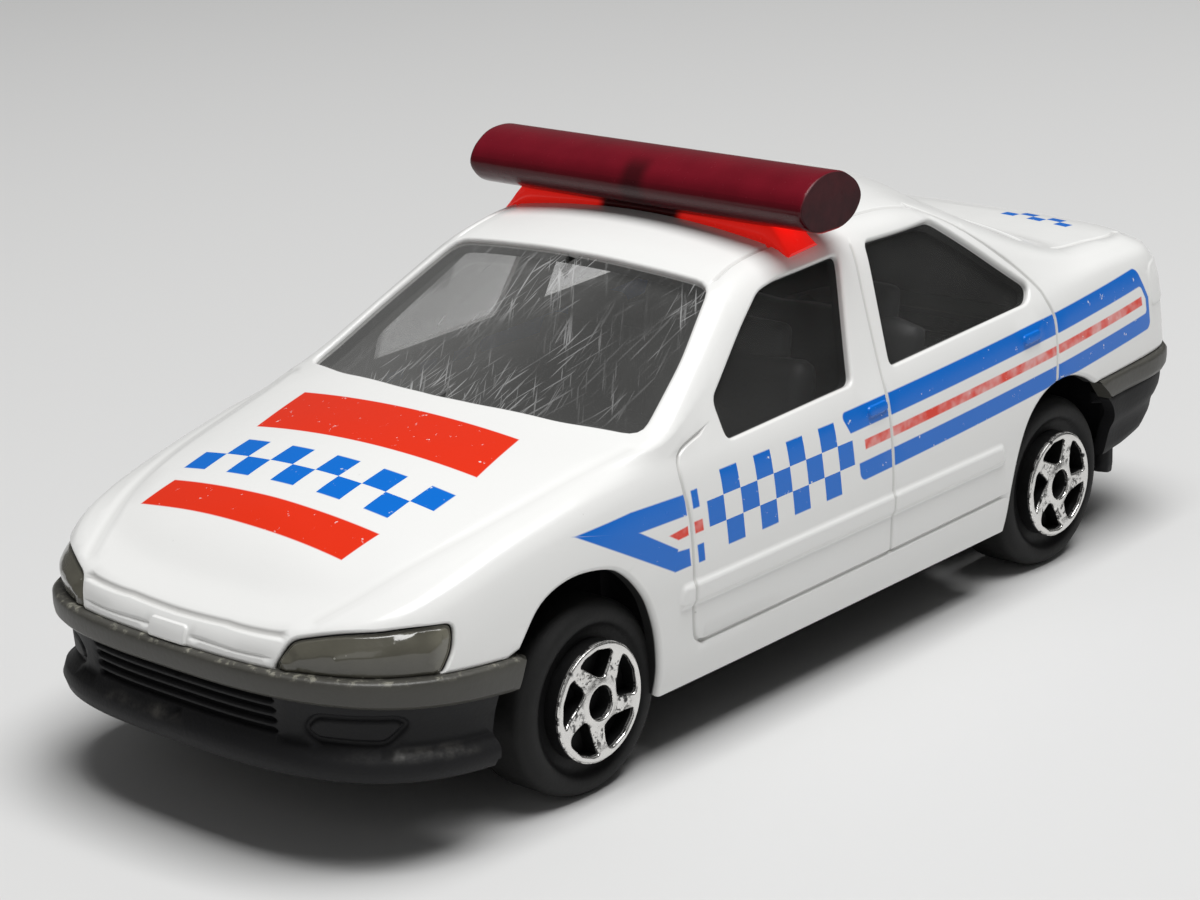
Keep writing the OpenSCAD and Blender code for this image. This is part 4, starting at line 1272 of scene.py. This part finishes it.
def glass_finish(colours):
    """Slightly smoky clear plastic with many fine scratches, crowded along the left pillar where they also
    give a painted highlight; painted light makes the windscreen hazier and paler towards the right side.
    """
    f = Finish("window_plastic")
    scratch = None
    for turn in (0.1, 0.4, 2.5, 2.9):
        across = f.y * math.cos(turn) + f.x * math.sin(turn)
        along = f.x * math.cos(turn) - f.y * math.sin(turn)
        at = f.node("ShaderNodeCombineXYZ", {}, {"X": across * 5.5, "Y": along * 0.22, "Z": f.z * 0.2},
                    "Vector")
        line = f.node("ShaderNodeTexNoise", {}, {"Vector": at, "Scale": 1.0, "Detail": 1.0}, "Fac")
        line = line.ramp(0.66, 0.7)
        scratch = line if scratch is None else scratch.most(line)
    shield = f.x.ramp(9.4, 9.8).most((1 - abs(f.y).ramp(11.2, 11.6)) * f.x.ramp(4.5, 5))
    middle = 1 - abs(f.y - 0.5).ramp(4, 9)
    # scratches crowd along the left pillar: real scratches, and there also a painted highlight of the glass's
    # bent edge
    near_edge = f.band(f.y, 8.4, 10.4, 0.6)
    scratch = scratch * f.noise(0.16, 2).ramp(0.36, 0.56) * (0.15 + shield * 0.85)
    scratch = scratch * (0.1 + middle.most(near_edge) * 0.9)
    film = f.noise(0.2, 4)
    tone = f.mix(scratch * 0.8, tuple(colours.glass), (0.6, 0.6, 0.6))
    # painted light: the windscreen hazier and paler towards the right side (-y)
    far_side = 1 - f.y.ramp(-9, 7)
    cover = 0.02 + shield * (0.1 + far_side * 0.32) + film * 0.12 + scratch * 0.22
    rough = 0.05 + film * 0.08 + scratch * 0.3
    return f.done(Base_Color=tone, Roughness=rough, Alpha=cover, IOR=1.49, Normal=f.bump(film, 0.01))


# The headlamp lenses, in mm: gap to the paint, depth under it, mesh step and wall, the groove along the
# edge, and the bulge's inset, height and rounded edge
LENS_GAP, LENS_DEPTH, LENS_STEP, LENS_WALL = 0.07, 0.16, 0.4, 1.4
LENS_GROOVE = (0.28, 0.16)
BULGE_INSET, BULGE_HEIGHT, BULGE_EDGE = 0.75, 0.32, 1.2


class TOYCAR_OT_lamps(bpy.types.Operator):
    """Moulds the smoked headlamp lenses into the corners of the nose"""
    bl_idname = "toycar.lamps"
    bl_label = "Headlamps"

    def execute(self, context):
        scene = context.scene
        line = leftward(lamp_line())
        plain = Relief(SKIN, LENS_STEP)
        edge = plain.beside(line, True, LENS_GAP)
        relief = Relief(Inset(SKIN, LENS_DEPTH), LENS_STEP, edge)
        relief.groove(edge, *LENS_GROOVE, True)
        relief.pad(plain.beside(line, True, BULGE_INSET), BULGE_HEIGHT, BULGE_EDGE)
        lens = Solid()
        lens.shell(relief, LENS_WALL)
        finish = lamp_finish(scene.toycar_finish)
        for side, way in SIDES.items():
            half = Solid()
            half.join(lens, way)
            half.piece("headlamp_" + side, "car", "lamp_smoked", finish, ("headlamp_lens_" + side,))
        return {"FINISHED"}


def lamp_finish(colours):
    """Glossy smoked plastic, paler at its outer end as painted light."""
    f = Finish("smoked_lamp")
    cloud = f.noise(0.8, 4)
    tone = f.mix(cloud * 0.6, tuple(c * 0.7 for c in colours.lamp), tuple(c * 1.25 for c in colours.lamp))
    # painted light: the lens paler at its outer end
    pale = (1 - f.x.ramp(31.2, 33.2)) * 0.6
    tone = f.mix(pale, tone, tuple(c * 2.2 for c in colours.lamp))
    rub = f.specks(1.6, 0.12) * f.noise(0.5).ramp(0.5, 0.6)
    tone = f.mix(rub * 0.5, tone, (0.5, 0.5, 0.45))
    return f.done(Base_Color=tone, Roughness=0.14 + cloud * 0.14, Coat_Weight=0.6, Coat_Roughness=0.06,
                  Normal=f.bump(f.noise(1.4, 3), 0.03))


# Sections of the bumpers: (mm out from the body's outline, share of the height)
STRIP_PROFILE = [(-0.9, 0.02), (-0.05, 0), (0.08, 0.06), (0.17, 0.4), (0.17, 0.85), (0.06, 1), (-0.9, 1)]
FRONT_SKIRT_PROFILE = [(-5.5, 0.1), (-0.9, 0.03), (-0.3, 0), (0, 0.08), (0, 0.24), (-0.3, 0.33), (-0.8, 0.4),
                       (-0.75, 0.7), (-0.5, 1), (-1.6, 1)]
REAR_SKIRT_PROFILE = [(-2.2, 0.02), (-1.3, 0), (-0.9, 0.05), (-0.75, 0.42), (-0.3, 0.56), (-0.2, 1),
                      (-1.6, 1)]
# How far the skirts go up behind the strips, and how far the front one reaches down from the strip's top
SKIRT_LAP, FRONT_SKIRT_TALL = 0.15, 5.65


class TOYCAR_OT_strips(bpy.types.Operator):
    """Wraps the grey strips round the nose and the tail"""
    bl_idname = "toycar.strips"
    bl_label = "Bumper strips"

    def execute(self, context):
        finish = strip_finish(context.scene.toycar_finish)
        profile = fine_line(STRIP_PROFILE, False, 0.1, 0.2)
        for name, end, far, top, tall in (("front", 1, 26.3, strip_top, strip_tall),
                                          ("rear", -1, -25.6, rear_strip_top, rear_strip_tall)):
            sheet = Sweep(end, far, profile, lambda x, t=top, h=tall: t(x) - h(x), top)
            relief = Relief(sheet, 0.42)
            cut = sheet.trim(relief, STRIP_CUT[end], 0.06)
            strip = Solid()
            strip.shell(relief, 0.02, True)
            sheet.end_cap(strip, cut)
            strip.piece(name + "_strip", "car", "strip_grey", finish, (name + "_bumper_strip",))
        return {"FINISHED"}


def strip_finish(colours):
    """Olive grey plastic, mottled, with flash along its upper edge."""
    f = Finish("strip_plastic")
    cloud = f.noise(0.5, 5)
    tone = f.mix(cloud, tuple(c * 0.75 for c in colours.strip), tuple(c * 1.2 for c in colours.strip))
    edge = f.noise(1.5, 4, 0.7).ramp(0.52, 0.66)
    level = f.z - strip_top(f.x)
    flash = edge * level.ramp(-0.3, 0) * f.x.ramp(0, 1)
    tone = f.mix(flash * 0.6, tone, (0.34, 0.33, 0.27))
    return f.done(Base_Color=tone, Roughness=0.34 + cloud * 0.2, Normal=f.bump(f.noise(3.5, 3), 0.02))


def front_skirt():
    """The lower front bumper: rolled lip, grille slots and lamp outlines."""
    sheet = Sweep(1, 26.5, fine_line(FRONT_SKIRT_PROFILE, False, 0.07, 0.15),
                  lambda x: strip_top(x) - FRONT_SKIRT_TALL,
                  lambda x: strip_top(x) - strip_tall(x) + SKIRT_LAP)
    relief = Relief(sheet, 0.6)
    sheet.trim(relief, SKIRT_CUT[1], 0.2)
    face = sheet.profile[:, 0] > -0.9

    def up(share):
        return float(np.interp(share, sheet.profile[face, 1], sheet.rise[face]))

    for share in (0.44, 0.57, 0.7, 0.83):
        low, high = up(share), up(share + 0.065)
        slot = np.array([(-1, low), (6.9, low), (7.15, (low + high) / 2), (6.9, high), (-1, high)], float)
        relief.pad(fine_line(slot, True, 0.12, 0.4), -0.5, 0.14)
    lamp = [(9.5, 0.46), (8.8, 0.58), (9.5, 0.75), (14.2, 0.79), (14.8, 0.72), (13.5, 0.46)]
    relief.groove(fine_line([(along, up(share)) for along, share in lamp], True, 0.5, 0.3), 0.28, 0.28, True)
    return relief


def rear_skirt():
    """The lower rear bumper, whose lower edge rises to the tail."""
    sheet = Sweep(-1, -26, fine_line(REAR_SKIRT_PROFILE, False, 0.2, 0.25), rear_low,
                  lambda x: rear_strip_top(x) - rear_strip_tall(x) + SKIRT_LAP)
    relief = Relief(sheet, 0.6)
    sheet.trim(relief, SKIRT_CUT[-1], 0.15)
    return relief


# The base, in mm: walls, the floor, the undertail plate, and the walls inside the wheels
SKIRT_WALL, FLOOR_WALL = 0.8, 1.1
FLOOR_Z = 3.25
UNDERTAIL_X, UNDERTAIL_Z, UNDERTAIL_HALF, UNDERTAIL_INSET = -30.2, 3.3, 9.5, 1.5
WHEEL_WALL_Y = (8.45, 8.65, 9.05, 9.25)
WHEEL_WALL_LOW, WHEEL_WALL_TOP = 4.2, 13.5


def undertail_ring(y):
    """One section of the plate that rises from the floor to the rear skirt."""
    plan = np.array(outline_at(TAIL_CAP, np.linspace(0, 90, 60), UNDERTAIL_INSET, UNDERTAIL_INSET))
    order = np.argsort(plan[:, 1])
    x = float(np.interp(abs(y), plan[order, 1], plan[order, 0]))
    z = rear_low(x - UNDERTAIL_INSET) + 0.1
    middle_x, middle_z = mix(UNDERTAIL_X, x, 0.5), mix(UNDERTAIL_Z, z, 0.45)
    return np.array([(UNDERTAIL_X, y, UNDERTAIL_Z), (UNDERTAIL_X, y, UNDERTAIL_Z + 1),
                     (middle_x, y, middle_z + 1), (x, y, z + 0.9), (x, y, z), (middle_x, y, middle_z)])


def wheel_wall(base, x, reach, way):
    """An upright wall inside one wheel, slotted over its axle, whose outer corner is cut off."""
    low, top = WHEEL_WALL_LOW, WHEEL_WALL_TOP
    outline = [(-6.4, low), (-1.5, low), (-1.5, 7), (1.5, 7), (1.5, low), (reach - 2.5, low), (reach, 6.5),
               (reach, 11.2), (reach - 2.4, top), (-4.4, top), (-6.4, 11.2)]
    end = 1 if x > 0 else -1
    line = fine_line(outline, True, 0.6, 0.5)
    loft(base, [[(x + dx * end, y * way, z) for dx, z in line] for y in WHEEL_WALL_Y[::way]])


def floor_relief():
    """The underside: a level floor with ribs and a centre tunnel."""
    plan = [(-30.6, 9), (-16.4, 9), (-16.2, 13.3), (15, 13.3), (15.2, 9), (31.3, 9)]
    outline = plan + [(x, -y) for x, y in plan[::-1]]
    relief = Relief(Flat((-36, -14), (36, 14), FLOOR_Z, -1), 1.2, fine_line(outline, True, 1.2, 0.8))
    relief.pad(fine_line([(-20, -2), (-20, 2), (20, 2), (20, -2)], True, 1.5, 0.8), -0.4, 0.6)
    for x in (-11, -5, 6, 12):
        for way in (-1, 1):
            rib = [(x - 0.5, 4 * way), (x - 0.5, 11 * way), (x + 0.5, 11 * way), (x + 0.5, 4 * way)]
            relief.pad(fine_line(rib, True, 0.4, 0.5), 0.2, 0.25)
    for x in (FRONT_AXLE_X, REAR_AXLE_X):
        cover = [(x - 1.7, -8.5), (x - 1.7, 8.5), (x + 1.7, 8.5), (x + 1.7, -8.5)]
        relief.groove(fine_line(cover, True, 0.5, 0.6), 0.3, 0.25, True)
    return relief


class TOYCAR_OT_base(bpy.types.Operator):
    """Moulds the base: floor, front skirt with its grille, rear skirt, undertail and wheel houses"""
    bl_idname = "toycar.base"
    bl_label = "Base"

    def execute(self, context):
        base = Solid()
        base.shell(front_skirt(), SKIRT_WALL, True)
        base.shell(rear_skirt(), SKIRT_WALL, True)
        base.shell(floor_relief(), FLOOR_WALL)
        loft(base, [undertail_ring(y) for y in np.linspace(-UNDERTAIL_HALF, UNDERTAIL_HALF, 21)])
        for way in (-1, 1):
            # a cross wall behind the rear wheel, then the walls inside both wheels
            cushion(base, (-29.9, 9.9 * way, 7.3), (0.9, 7.8, 6.6), 0.3)
            wheel_wall(base, FRONT_AXLE_X, 8, way)
            wheel_wall(base, REAR_AXLE_X, 6.9, way)
        finish = base_finish(context.scene.toycar_finish)
        base.piece("base_with_bumpers", "car", "base_black", finish, ("base_plate",))
        return {"FINISHED"}


def base_finish(colours):
    """Dark plastic with a fine grain, and along the chin a band that is glossier from rubbing and lighter as
    a painted highlight.
    """
    f = Finish("base_plastic")
    cloud = f.noise(0.4, 5)
    tone = f.mix(cloud, tuple(c * 0.7 for c in colours.base), tuple(c * 1.3 for c in colours.base))
    level = f.z - strip_top(f.x)
    # the top of the chin's lip: glossier from rubbing, and lighter as a painted highlight
    chin = f.band(level, -4.5, -3.9, 0.2) * f.x.ramp(30, 31) * f.noise(0.25, 2).ramp(0.45, 0.6)
    rub_and_highlight = chin * f.noise(0.9, 3, 0.6).ramp(0.35, 0.8)
    tone = f.mix(rub_and_highlight * 0.35, tone, (0.2, 0.19, 0.17))
    rough = 0.5 + cloud * 0.15 - rub_and_highlight * 0.25
    return f.done(Base_Color=tone, Roughness=rough, Normal=f.bump(f.noise(5, 3), 0.02),
                  Specular_IOR_Level=0.25)


# The cabin, in mm: the tub's length, width and wall height, the driver's place and the steering wheel
TUB_X, TUB_LEN, TUB_W, TUB_H = -0.5, 29.4, 25.2, 11
SEAT_Y = 6.35
STEER_PLACE, STEER_R, STEER_LEAN = (8.1, SEAT_Y, 14.8), 2.15, 28


class TOYCAR_OT_cabin(bpy.types.Operator):
    """Moulds the cabin: seats, bench, dashboard, steering wheel"""
    bl_idname = "toycar.cabin"
    bl_label = "Cabin"

    def execute(self, context):
        tub = Solid()
        cushion(tub, (TUB_X, 0, 4.9), (TUB_LEN, TUB_W, 1.0), 0.3)
        for way in (-1, 1):
            cushion(tub, (TUB_X, 12.2 * way, 10), (TUB_LEN, 1.0, TUB_H), 0.4)
            seat_on(tub, 0.6, SEAT_Y * way, 8.6, 2)
        seat_on(tub, -9.9, 0, 22.4, 5)
        cushion(tub, (-14.8, 0, 10), (1.0, TUB_W, TUB_H), 0.4)
        # the dashboard, the hood over the dials and the wall ahead of them
        cushion(tub, (12.3, 0, 13.5), (4.0, TUB_W, 4.0), 1.2, crown=0.3)
        cushion(tub, (10.9, SEAT_Y, 15.0), (2.6, 6.0, 2.0), 0.8, tilt=12)
        cushion(tub, (13.8, 0, 10), (1.0, TUB_W, TUB_H), 0.4)
        steering_wheel(tub)
        finish = cabin_finish(context.scene.toycar_finish)
        tub.piece("cabin", "car", "interior_black", finish, ("interior_tub",))
        return {"FINISHED"}


def steering_wheel(tub):
    """A leaning ring with three spokes on its column."""
    lean = np.array(Matrix.Rotation(math.radians(STEER_LEAN), 3, "Y"))
    hub = np.array(STEER_PLACE)
    around = np.arange(36) * math.pi / 18
    rim = [np.array((0, STEER_R * math.cos(a), STEER_R * math.sin(a))) for a in around]
    tube(tub, [lean @ p + hub for p in rim], 0.3, True)
    for angle in (0.5, 2.64, 4.71):
        spoke = np.array((0, 2.1 * math.cos(angle), 2.1 * math.sin(angle)))
        tube(tub, [hub, hub + lean @ (spoke * 0.5), hub + lean @ spoke], 0.24)
    tube(tub, [hub, hub + (1.5, 0, -0.8), hub + (3, 0, -1.6)], 0.5)


def seat_on(tub, x, y, width, channels):
    """A seat: cushion, leaning back and head rests."""
    cushion(tub, (x + 3.2, y, 7.2), (6.6, width, 4.0), 1.1, crown=0.3, channels=channels)
    cushion(tub, (x - 2.1, y, 12.0), (2.2, width - 0.6, 11.4), 0.9, tilt=-14, crown=0.2, channels=channels)
    heads = (y,) if width < 12 else (y - width / 3.4, y + width / 3.4)
    for at in heads:
        cushion(tub, (x - 3.6, at, 18.2), (1.4, 4.2, 2.6), 0.6, tilt=-10)


def cabin_finish(colours):
    """Matt dark plastic with a moulded grain."""
    f = Finish("cabin_plastic")
    grain = f.noise(3, 4)
    tone = f.mix(grain, tuple(colours.cabin), tuple(c * 2.2 for c in colours.cabin))
    return f.done(Base_Color=tone, Roughness=0.5 + grain * 0.2, Normal=f.bump(grain, 0.03))


# The light bar, in mm: its middle, half lengths of bar and foot, section round the middle, and its peg
BAR_X, BAR_Y, BAR_Z = -1.3, 0.4, 27.9
BAR_HALF, FOOT_HALF = 12.7, 11.0
BAR_SECTION = [(3.0, -0.35), (2.5, 0.6), (1.3, 1.4), (0, 1.6), (-1.3, 1.4), (-2.5, 0.6), (-3.0, -0.35),
               (-2.3, -1.35), (-1, -1.9), (1, -1.9), (2.3, -1.35)]
BAR_PEG = [(0, 23.5), (1.2, 23.5), (1.2, 27.4), (0, 27.4)]


class TOYCAR_OT_light_bar(bpy.types.Operator):
    """Moulds the red light bar and its feet on the roof"""
    bl_idname = "toycar.light_bar"
    bl_label = "Light bar"

    def execute(self, context):
        bar = Solid()
        lens = fine_line(BAR_SECTION, True, 0.8, 0.25)
        stations = [-1, -0.995, -0.985, -0.96] + list(np.linspace(-0.9, 0.9, 25)) + [0.96, 0.985, 0.995, 1]
        loft(bar, [bar_ring(lens, s) for s in stations])
        loft(bar, [foot_ring(y) for y in np.linspace(-FOOT_HALF, FOOT_HALF, 49)])
        peg = Solid()
        lathe(peg, fine_line(BAR_PEG, False, 0.15, 0.4), 24)
        bar.join(peg.moved(Matrix.Translation((BAR_X, 0, 0))))
        finish = beacon_finish(context.scene.toycar_finish)
        bar.piece("light_bar_red", "car", "light_red", finish, ("light_bar",))
        return {"FINISHED"}


def bar_ring(lens, share):
    """One section of the bar, a little smaller at its flat ends."""
    size = 1 - 0.04 * smooth((abs(share) - 0.985) / 0.015)
    along = np.full(len(lens), share * BAR_HALF + BAR_Y)
    return np.stack([BAR_X + lens[:, 0] * size, along, BAR_Z + lens[:, 1] * size], 1)


def foot_ring(y):
    """One section of the feet and the web between them, from the roof's skin up into the bar."""
    fall = smooth((abs(y) - FOOT_HALF + 2.2) / 2.2)
    out = []
    for dx, share in ((1.1, 1), (-1.1, 1), (-1.3, 0.5), (-1.5, 0), (1.5, 0), (1.3, 0.5)):
        flat = SKIN.locate([(BAR_X + dx, abs(y))], [0, 1])
        roof = SKIN.point(flat)[0][2] - 0.1
        out.append((BAR_X + dx, y, mix(roof, mix(BAR_Z - 1.4, roof + 0.25, fall), share)))
    return np.array(out)


def loft(solid, rings):
    """A closed form through rings of points that run along +Y."""
    rings = np.array(rings)
    rows, count = rings.shape[:2]
    points = rings.reshape(-1, 3)
    faces = []
    for i in range(rows - 1):
        for k in range(count):
            j = (k + 1) % count
            faces.append([i * count + k, i * count + j, (i + 1) * count + j, (i + 1) * count + k])
    first, last = list(range(count)), list(range((rows - 1) * count, rows * count))
    area = area_of(np.stack([rings[0][:, 2], rings[0][:, 0]], 1))
    turned = area > 0
    faces = [f if turned else f[::-1] for f in faces]
    caps = [first[::-1], last] if turned else [first, last[::-1]]
    around = np.roll(rings, -1, axis=1) - np.roll(rings, 1, axis=1)
    along = np.gradient(rings, axis=0)
    normal = unit(np.cross(around, along)) * (1 if turned else -1)
    solid.add(points, faces, normal.reshape(-1, 3))
    solid.add(points[first], [[c % count for c in caps[0]]])
    solid.add(points[last], [[c - (rows - 1) * count for c in caps[1]]])


def beacon_finish(colours):
    """Clear red plastic, deep in the bar and darker in the middle of its front, with painted shade low in the
    bar, over the web between the feet and at the cut ends, and painted light that makes the feet bright and
    glowing.
    """
    f = Finish("red_plastic")
    cloud = f.noise(0.4, 4)
    tone = f.mix(cloud, tuple(c * 0.75 for c in colours.beacon), tuple(c * 1.25 for c in colours.beacon))
    # painted shade: darker towards the bottom of the bar, lighter towards its top
    tone = f.mix((f.z - BAR_Z).ramp(-0.9, 0.9), tuple(c * 0.35 for c in colours.beacon), tone)
    # painted light and shade: the feet bright red as light through the plastic, the web between them dark as
    # shade under the bar
    feet = 1 - f.z.ramp(26, 26.2)
    web = 1 - abs(f.y).ramp(2.6, 3.4)
    tone = f.mix(feet, tone, f.mix(web, (0.75, 0.012, 0.01), (0.08, 0.002, 0.003)))
    # painted shade: the flat cut ends dark
    ends = abs(f.y - BAR_Y).ramp(BAR_HALF - 0.12, BAR_HALF)
    tone = f.mix(ends * 0.85, tone, f.mix(f.noise(1.4, 4), (0.004, 0, 0.001), (0.06, 0.006, 0.01)))
    # darker in the middle of the bar's front
    front_middle_dark = (1 - abs(f.y - 0.6).ramp(0.3, 1.3)) * (f.x - BAR_X).ramp(1.2, 2.4) * (1 - feet)
    tone = f.mix(front_middle_dark * 0.75, tone, (0.02, 0.002, 0.003))
    rub = f.noise(2, 5, 0.7).ramp(0.6, 0.7)
    # painted light: the feet glow, though the bar holds no lamp
    glow = f.mix(feet * (1 - web), (0, 0, 0), (0.9, 0.02, 0.012))
    rough = 0.16 + cloud * 0.1 + rub * 0.15 + ends * 0.4
    return f.done(Base_Color=tone, Roughness=rough, Specular_IOR_Level=0.3,
                  Normal=f.bump(f.noise(1.2, 3), 0.02), Emission_Color=glow, Emission_Strength=0.4)


# The wheels, in mm: each axle's x and the angle of its first pocket, then the face's plane, radii and wall
WHEELSETS = {"front": (FRONT_AXLE_X, 56), "rear": (REAR_AXLE_X, 68)}
WHEEL_FACE_Y = 14.8
RIM_R = 3.35
HUB_R = 0.95
FACE_WALL = 1.05
# The pocket between two spokes: degrees from its middle and share of the radius
SPOKE_COUNT = 5
SPOKE_GAP = [(-23, 0.43), (-27, 0.62), (-27.5, 0.82), (-21, 0.875), (0, 0.89), (20, 0.885), (29, 0.855),
             (19, 0.63), (6, 0.47), (-10, 0.415)]
# The tyre's radius and height over the face's plane, with the dished centre behind the bright face
TYRE_PROFILE = [(0, -4.4), (3.8, -4.4), (4.2, -4.95), (4.95, -4.95), (5.45, -4.3), (5.45, -1.25),
                (4.95, -0.62), (4.3, -0.62), (3.95, -1.05), (3.3, -1.15), (0, -1.0)]


class TOYCAR_OT_wheels(bpy.types.Operator):
    """Turns the tyres and stamps the bright wheel faces"""
    bl_idname = "toycar.wheels"
    bl_label = "Wheels"

    def execute(self, context):
        colours = context.scene.toycar_finish
        tyre = Solid()
        lathe(tyre, fine_line(TYRE_PROFILE, False, 0.3, 0.3), 96)
        black, bright = tyre_finish(colours), foil_finish(colours)
        for end, (x, angle) in WHEELSETS.items():
            face = Solid()
            face.shell(wheel_face(angle), FACE_WALL)
            for side, way in SIDES.items():
                name, body = end + "_" + side, end + "_wheelset"
                turn = Matrix.Translation((x, WHEEL_FACE_Y * way, AXLE_Z))
                turn = turn @ Matrix.Rotation(math.radians(-90 * way), 4, "X")
                tyre.moved(turn).piece("tyre_" + name, body, "wheel_black", black, ("wheel_" + name,))
                foil = "rim_foil_" + name
                face.moved(turn).piece("wheel_face_" + name, body, "foil_bright", bright, (foil,))
        return {"FINISHED"}


def wheel_face(turn):
    """The five-spoke face on its own plane, its outside up."""
    relief = Relief(Dome((-RIM_R, -RIM_R), (RIM_R, RIM_R)), 0.22, ring(RIM_R - 0.02, 96))
    for k in range(SPOKE_COUNT):
        angles = [(math.radians(turn + 360 / SPOKE_COUNT * k + a), RIM_R * r) for a, r in SPOKE_GAP]
        gap = [(r * math.cos(a), r * math.sin(a)) for a, r in angles]
        relief.opening(fine_line(gap, True, 0.16, 0.16), 0.13)
    relief.opening(ring(HUB_R, 40), 0.12)
    relief.groove(ring(RIM_R - 0.02, 96), 0.14, 0.14, True)
    return relief


class Dome(Sheet):
    """The wheel's face: hub and rim stand a little over the spokes."""

    def point(self, flat):
        flat = np.asarray(flat, float)
        r = np.hypot(flat[:, 0], flat[:, 1])
        z = -0.16 * smooth((r - 0.9) / 0.7) + 0.12 * smooth((r - 2.3) / 0.6) - 0.02
        return np.stack([flat[:, 0], flat[:, 1], z], 1)


def tyre_finish(colours):
    """Black plastic, rougher on the tread and the shoulder, and greyer there as a painted highlight."""
    f = Finish("wheel_plastic")
    cloud = f.noise(1.2, 5)
    tone = f.mix(cloud, tuple(colours.tyre), tuple(c * 2 for c in colours.tyre))
    front, rear = ((f.x - x) * (f.x - x) for x in (FRONT_AXLE_X, REAR_AXLE_X))
    radius = (front.least(rear) + (f.z - AXLE_Z) * (f.z - AXLE_Z)).root()
    tread = radius.ramp(4.2, 4.5)
    # painted highlight: the tread and shoulder greyer
    tone = f.mix(tread, tone, f.mix(cloud, (0.009, 0.009, 0.0092), (0.02, 0.02, 0.0195)))
    return f.done(Base_Color=tone, Roughness=0.5 + tread * 0.12 + cloud * 0.1, Specular_IOR_Level=0.28,
                  Normal=f.bump(f.noise(4, 3), 0.02))


def foil_finish(colours):
    """Bright foil on black plastic: chipped at its edges, gone in the pockets."""
    f = Finish("wheel_foil")
    deep = WHEEL_FACE_Y - abs(f.y)
    chips = f.noise(2.6, 5, 0.7).ramp(0.5, 0.56) * deep.ramp(0.1, 0.2)
    dots = f.specks(0.9, 0.2) * f.noise(0.9, 3).ramp(0.4, 0.5)
    cover = (1 - deep.ramp(0.24, 0.34)) * (1 - chips.most(dots))
    cloud = f.noise(1.2, 5)
    tone = f.mix(cloud * 0.3, tuple(colours.foil), tuple(c * 0.7 for c in colours.foil))
    tone = f.mix(cover, tuple(colours.tyre), tone)
    rough = 0.4 - cover * 0.2 + cloud * 0.12
    return f.done(Base_Color=tone, Metallic=cover, Roughness=rough, Normal=f.bump(f.noise(2.2, 4), 0.03))


class TOYCAR_OT_axles(bpy.types.Operator):
    """Gives the CAD axles their drawn steel finish"""
    bl_idname = "toycar.axles"
    bl_label = "Axles"

    def execute(self, context):
        f = Finish("drawn_steel")
        streak = f.noise(2.5, 4, 0.6, (1, 0.1, 1))
        tone = f.mix(streak, (0.5, 0.5, 0.5), (0.66, 0.65, 0.64))
        steel = f.done(Base_Color=tone, Metallic=1.0, Roughness=0.25 + streak * 0.2)
        for node in ("front_axle", "rear_axle"):
            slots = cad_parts[node].data.materials
            slots.clear()
            slots.append(steel)
        return {"FINISHED"}


STEPS = (TOYCAR_OT_stage, TOYCAR_OT_body, TOYCAR_OT_windows, TOYCAR_OT_lamps, TOYCAR_OT_strips,
         TOYCAR_OT_base, TOYCAR_OT_cabin, TOYCAR_OT_light_bar, TOYCAR_OT_wheels, TOYCAR_OT_axles)


class TOYCAR_PT_panel(bpy.types.Panel):
    """Lists the steps that build the car"""
    bl_idname = "TOYCAR_PT_panel"
    bl_label = "Toy police car"
    bl_space_type = "VIEW_3D"
    bl_region_type = "UI"
    bl_category = "Toy car"

    def draw(self, context):
        for group in (context.scene.toycar_finish, context.scene.toycar_sizes):
            for name in group.bl_rna.properties.keys():
                if name not in ("rna_type", "name"):
                    self.layout.prop(group, name)
        for step in STEPS:
            self.layout.operator(step.bl_idname)


CLASSES = (ToyCarFinish, ToyCarSizes, *STEPS, TOYCAR_PT_panel)


def register():
    for cls in CLASSES:
        bpy.utils.register_class(cls)
    bpy.types.Scene.toycar_finish = PointerProperty(type=ToyCarFinish)
    bpy.types.Scene.toycar_sizes = PointerProperty(type=ToyCarSizes)


def unregister():
    del bpy.types.Scene.toycar_sizes
    del bpy.types.Scene.toycar_finish
    for cls in reversed(CLASSES):
        bpy.utils.unregister_class(cls)


def main():
    """Builds the whole car."""
    register()
    for step in STEPS:
        group, name = step.bl_idname.split(".")
        getattr(getattr(bpy.ops, group), name)()


if __name__ == "__main__":
    main()
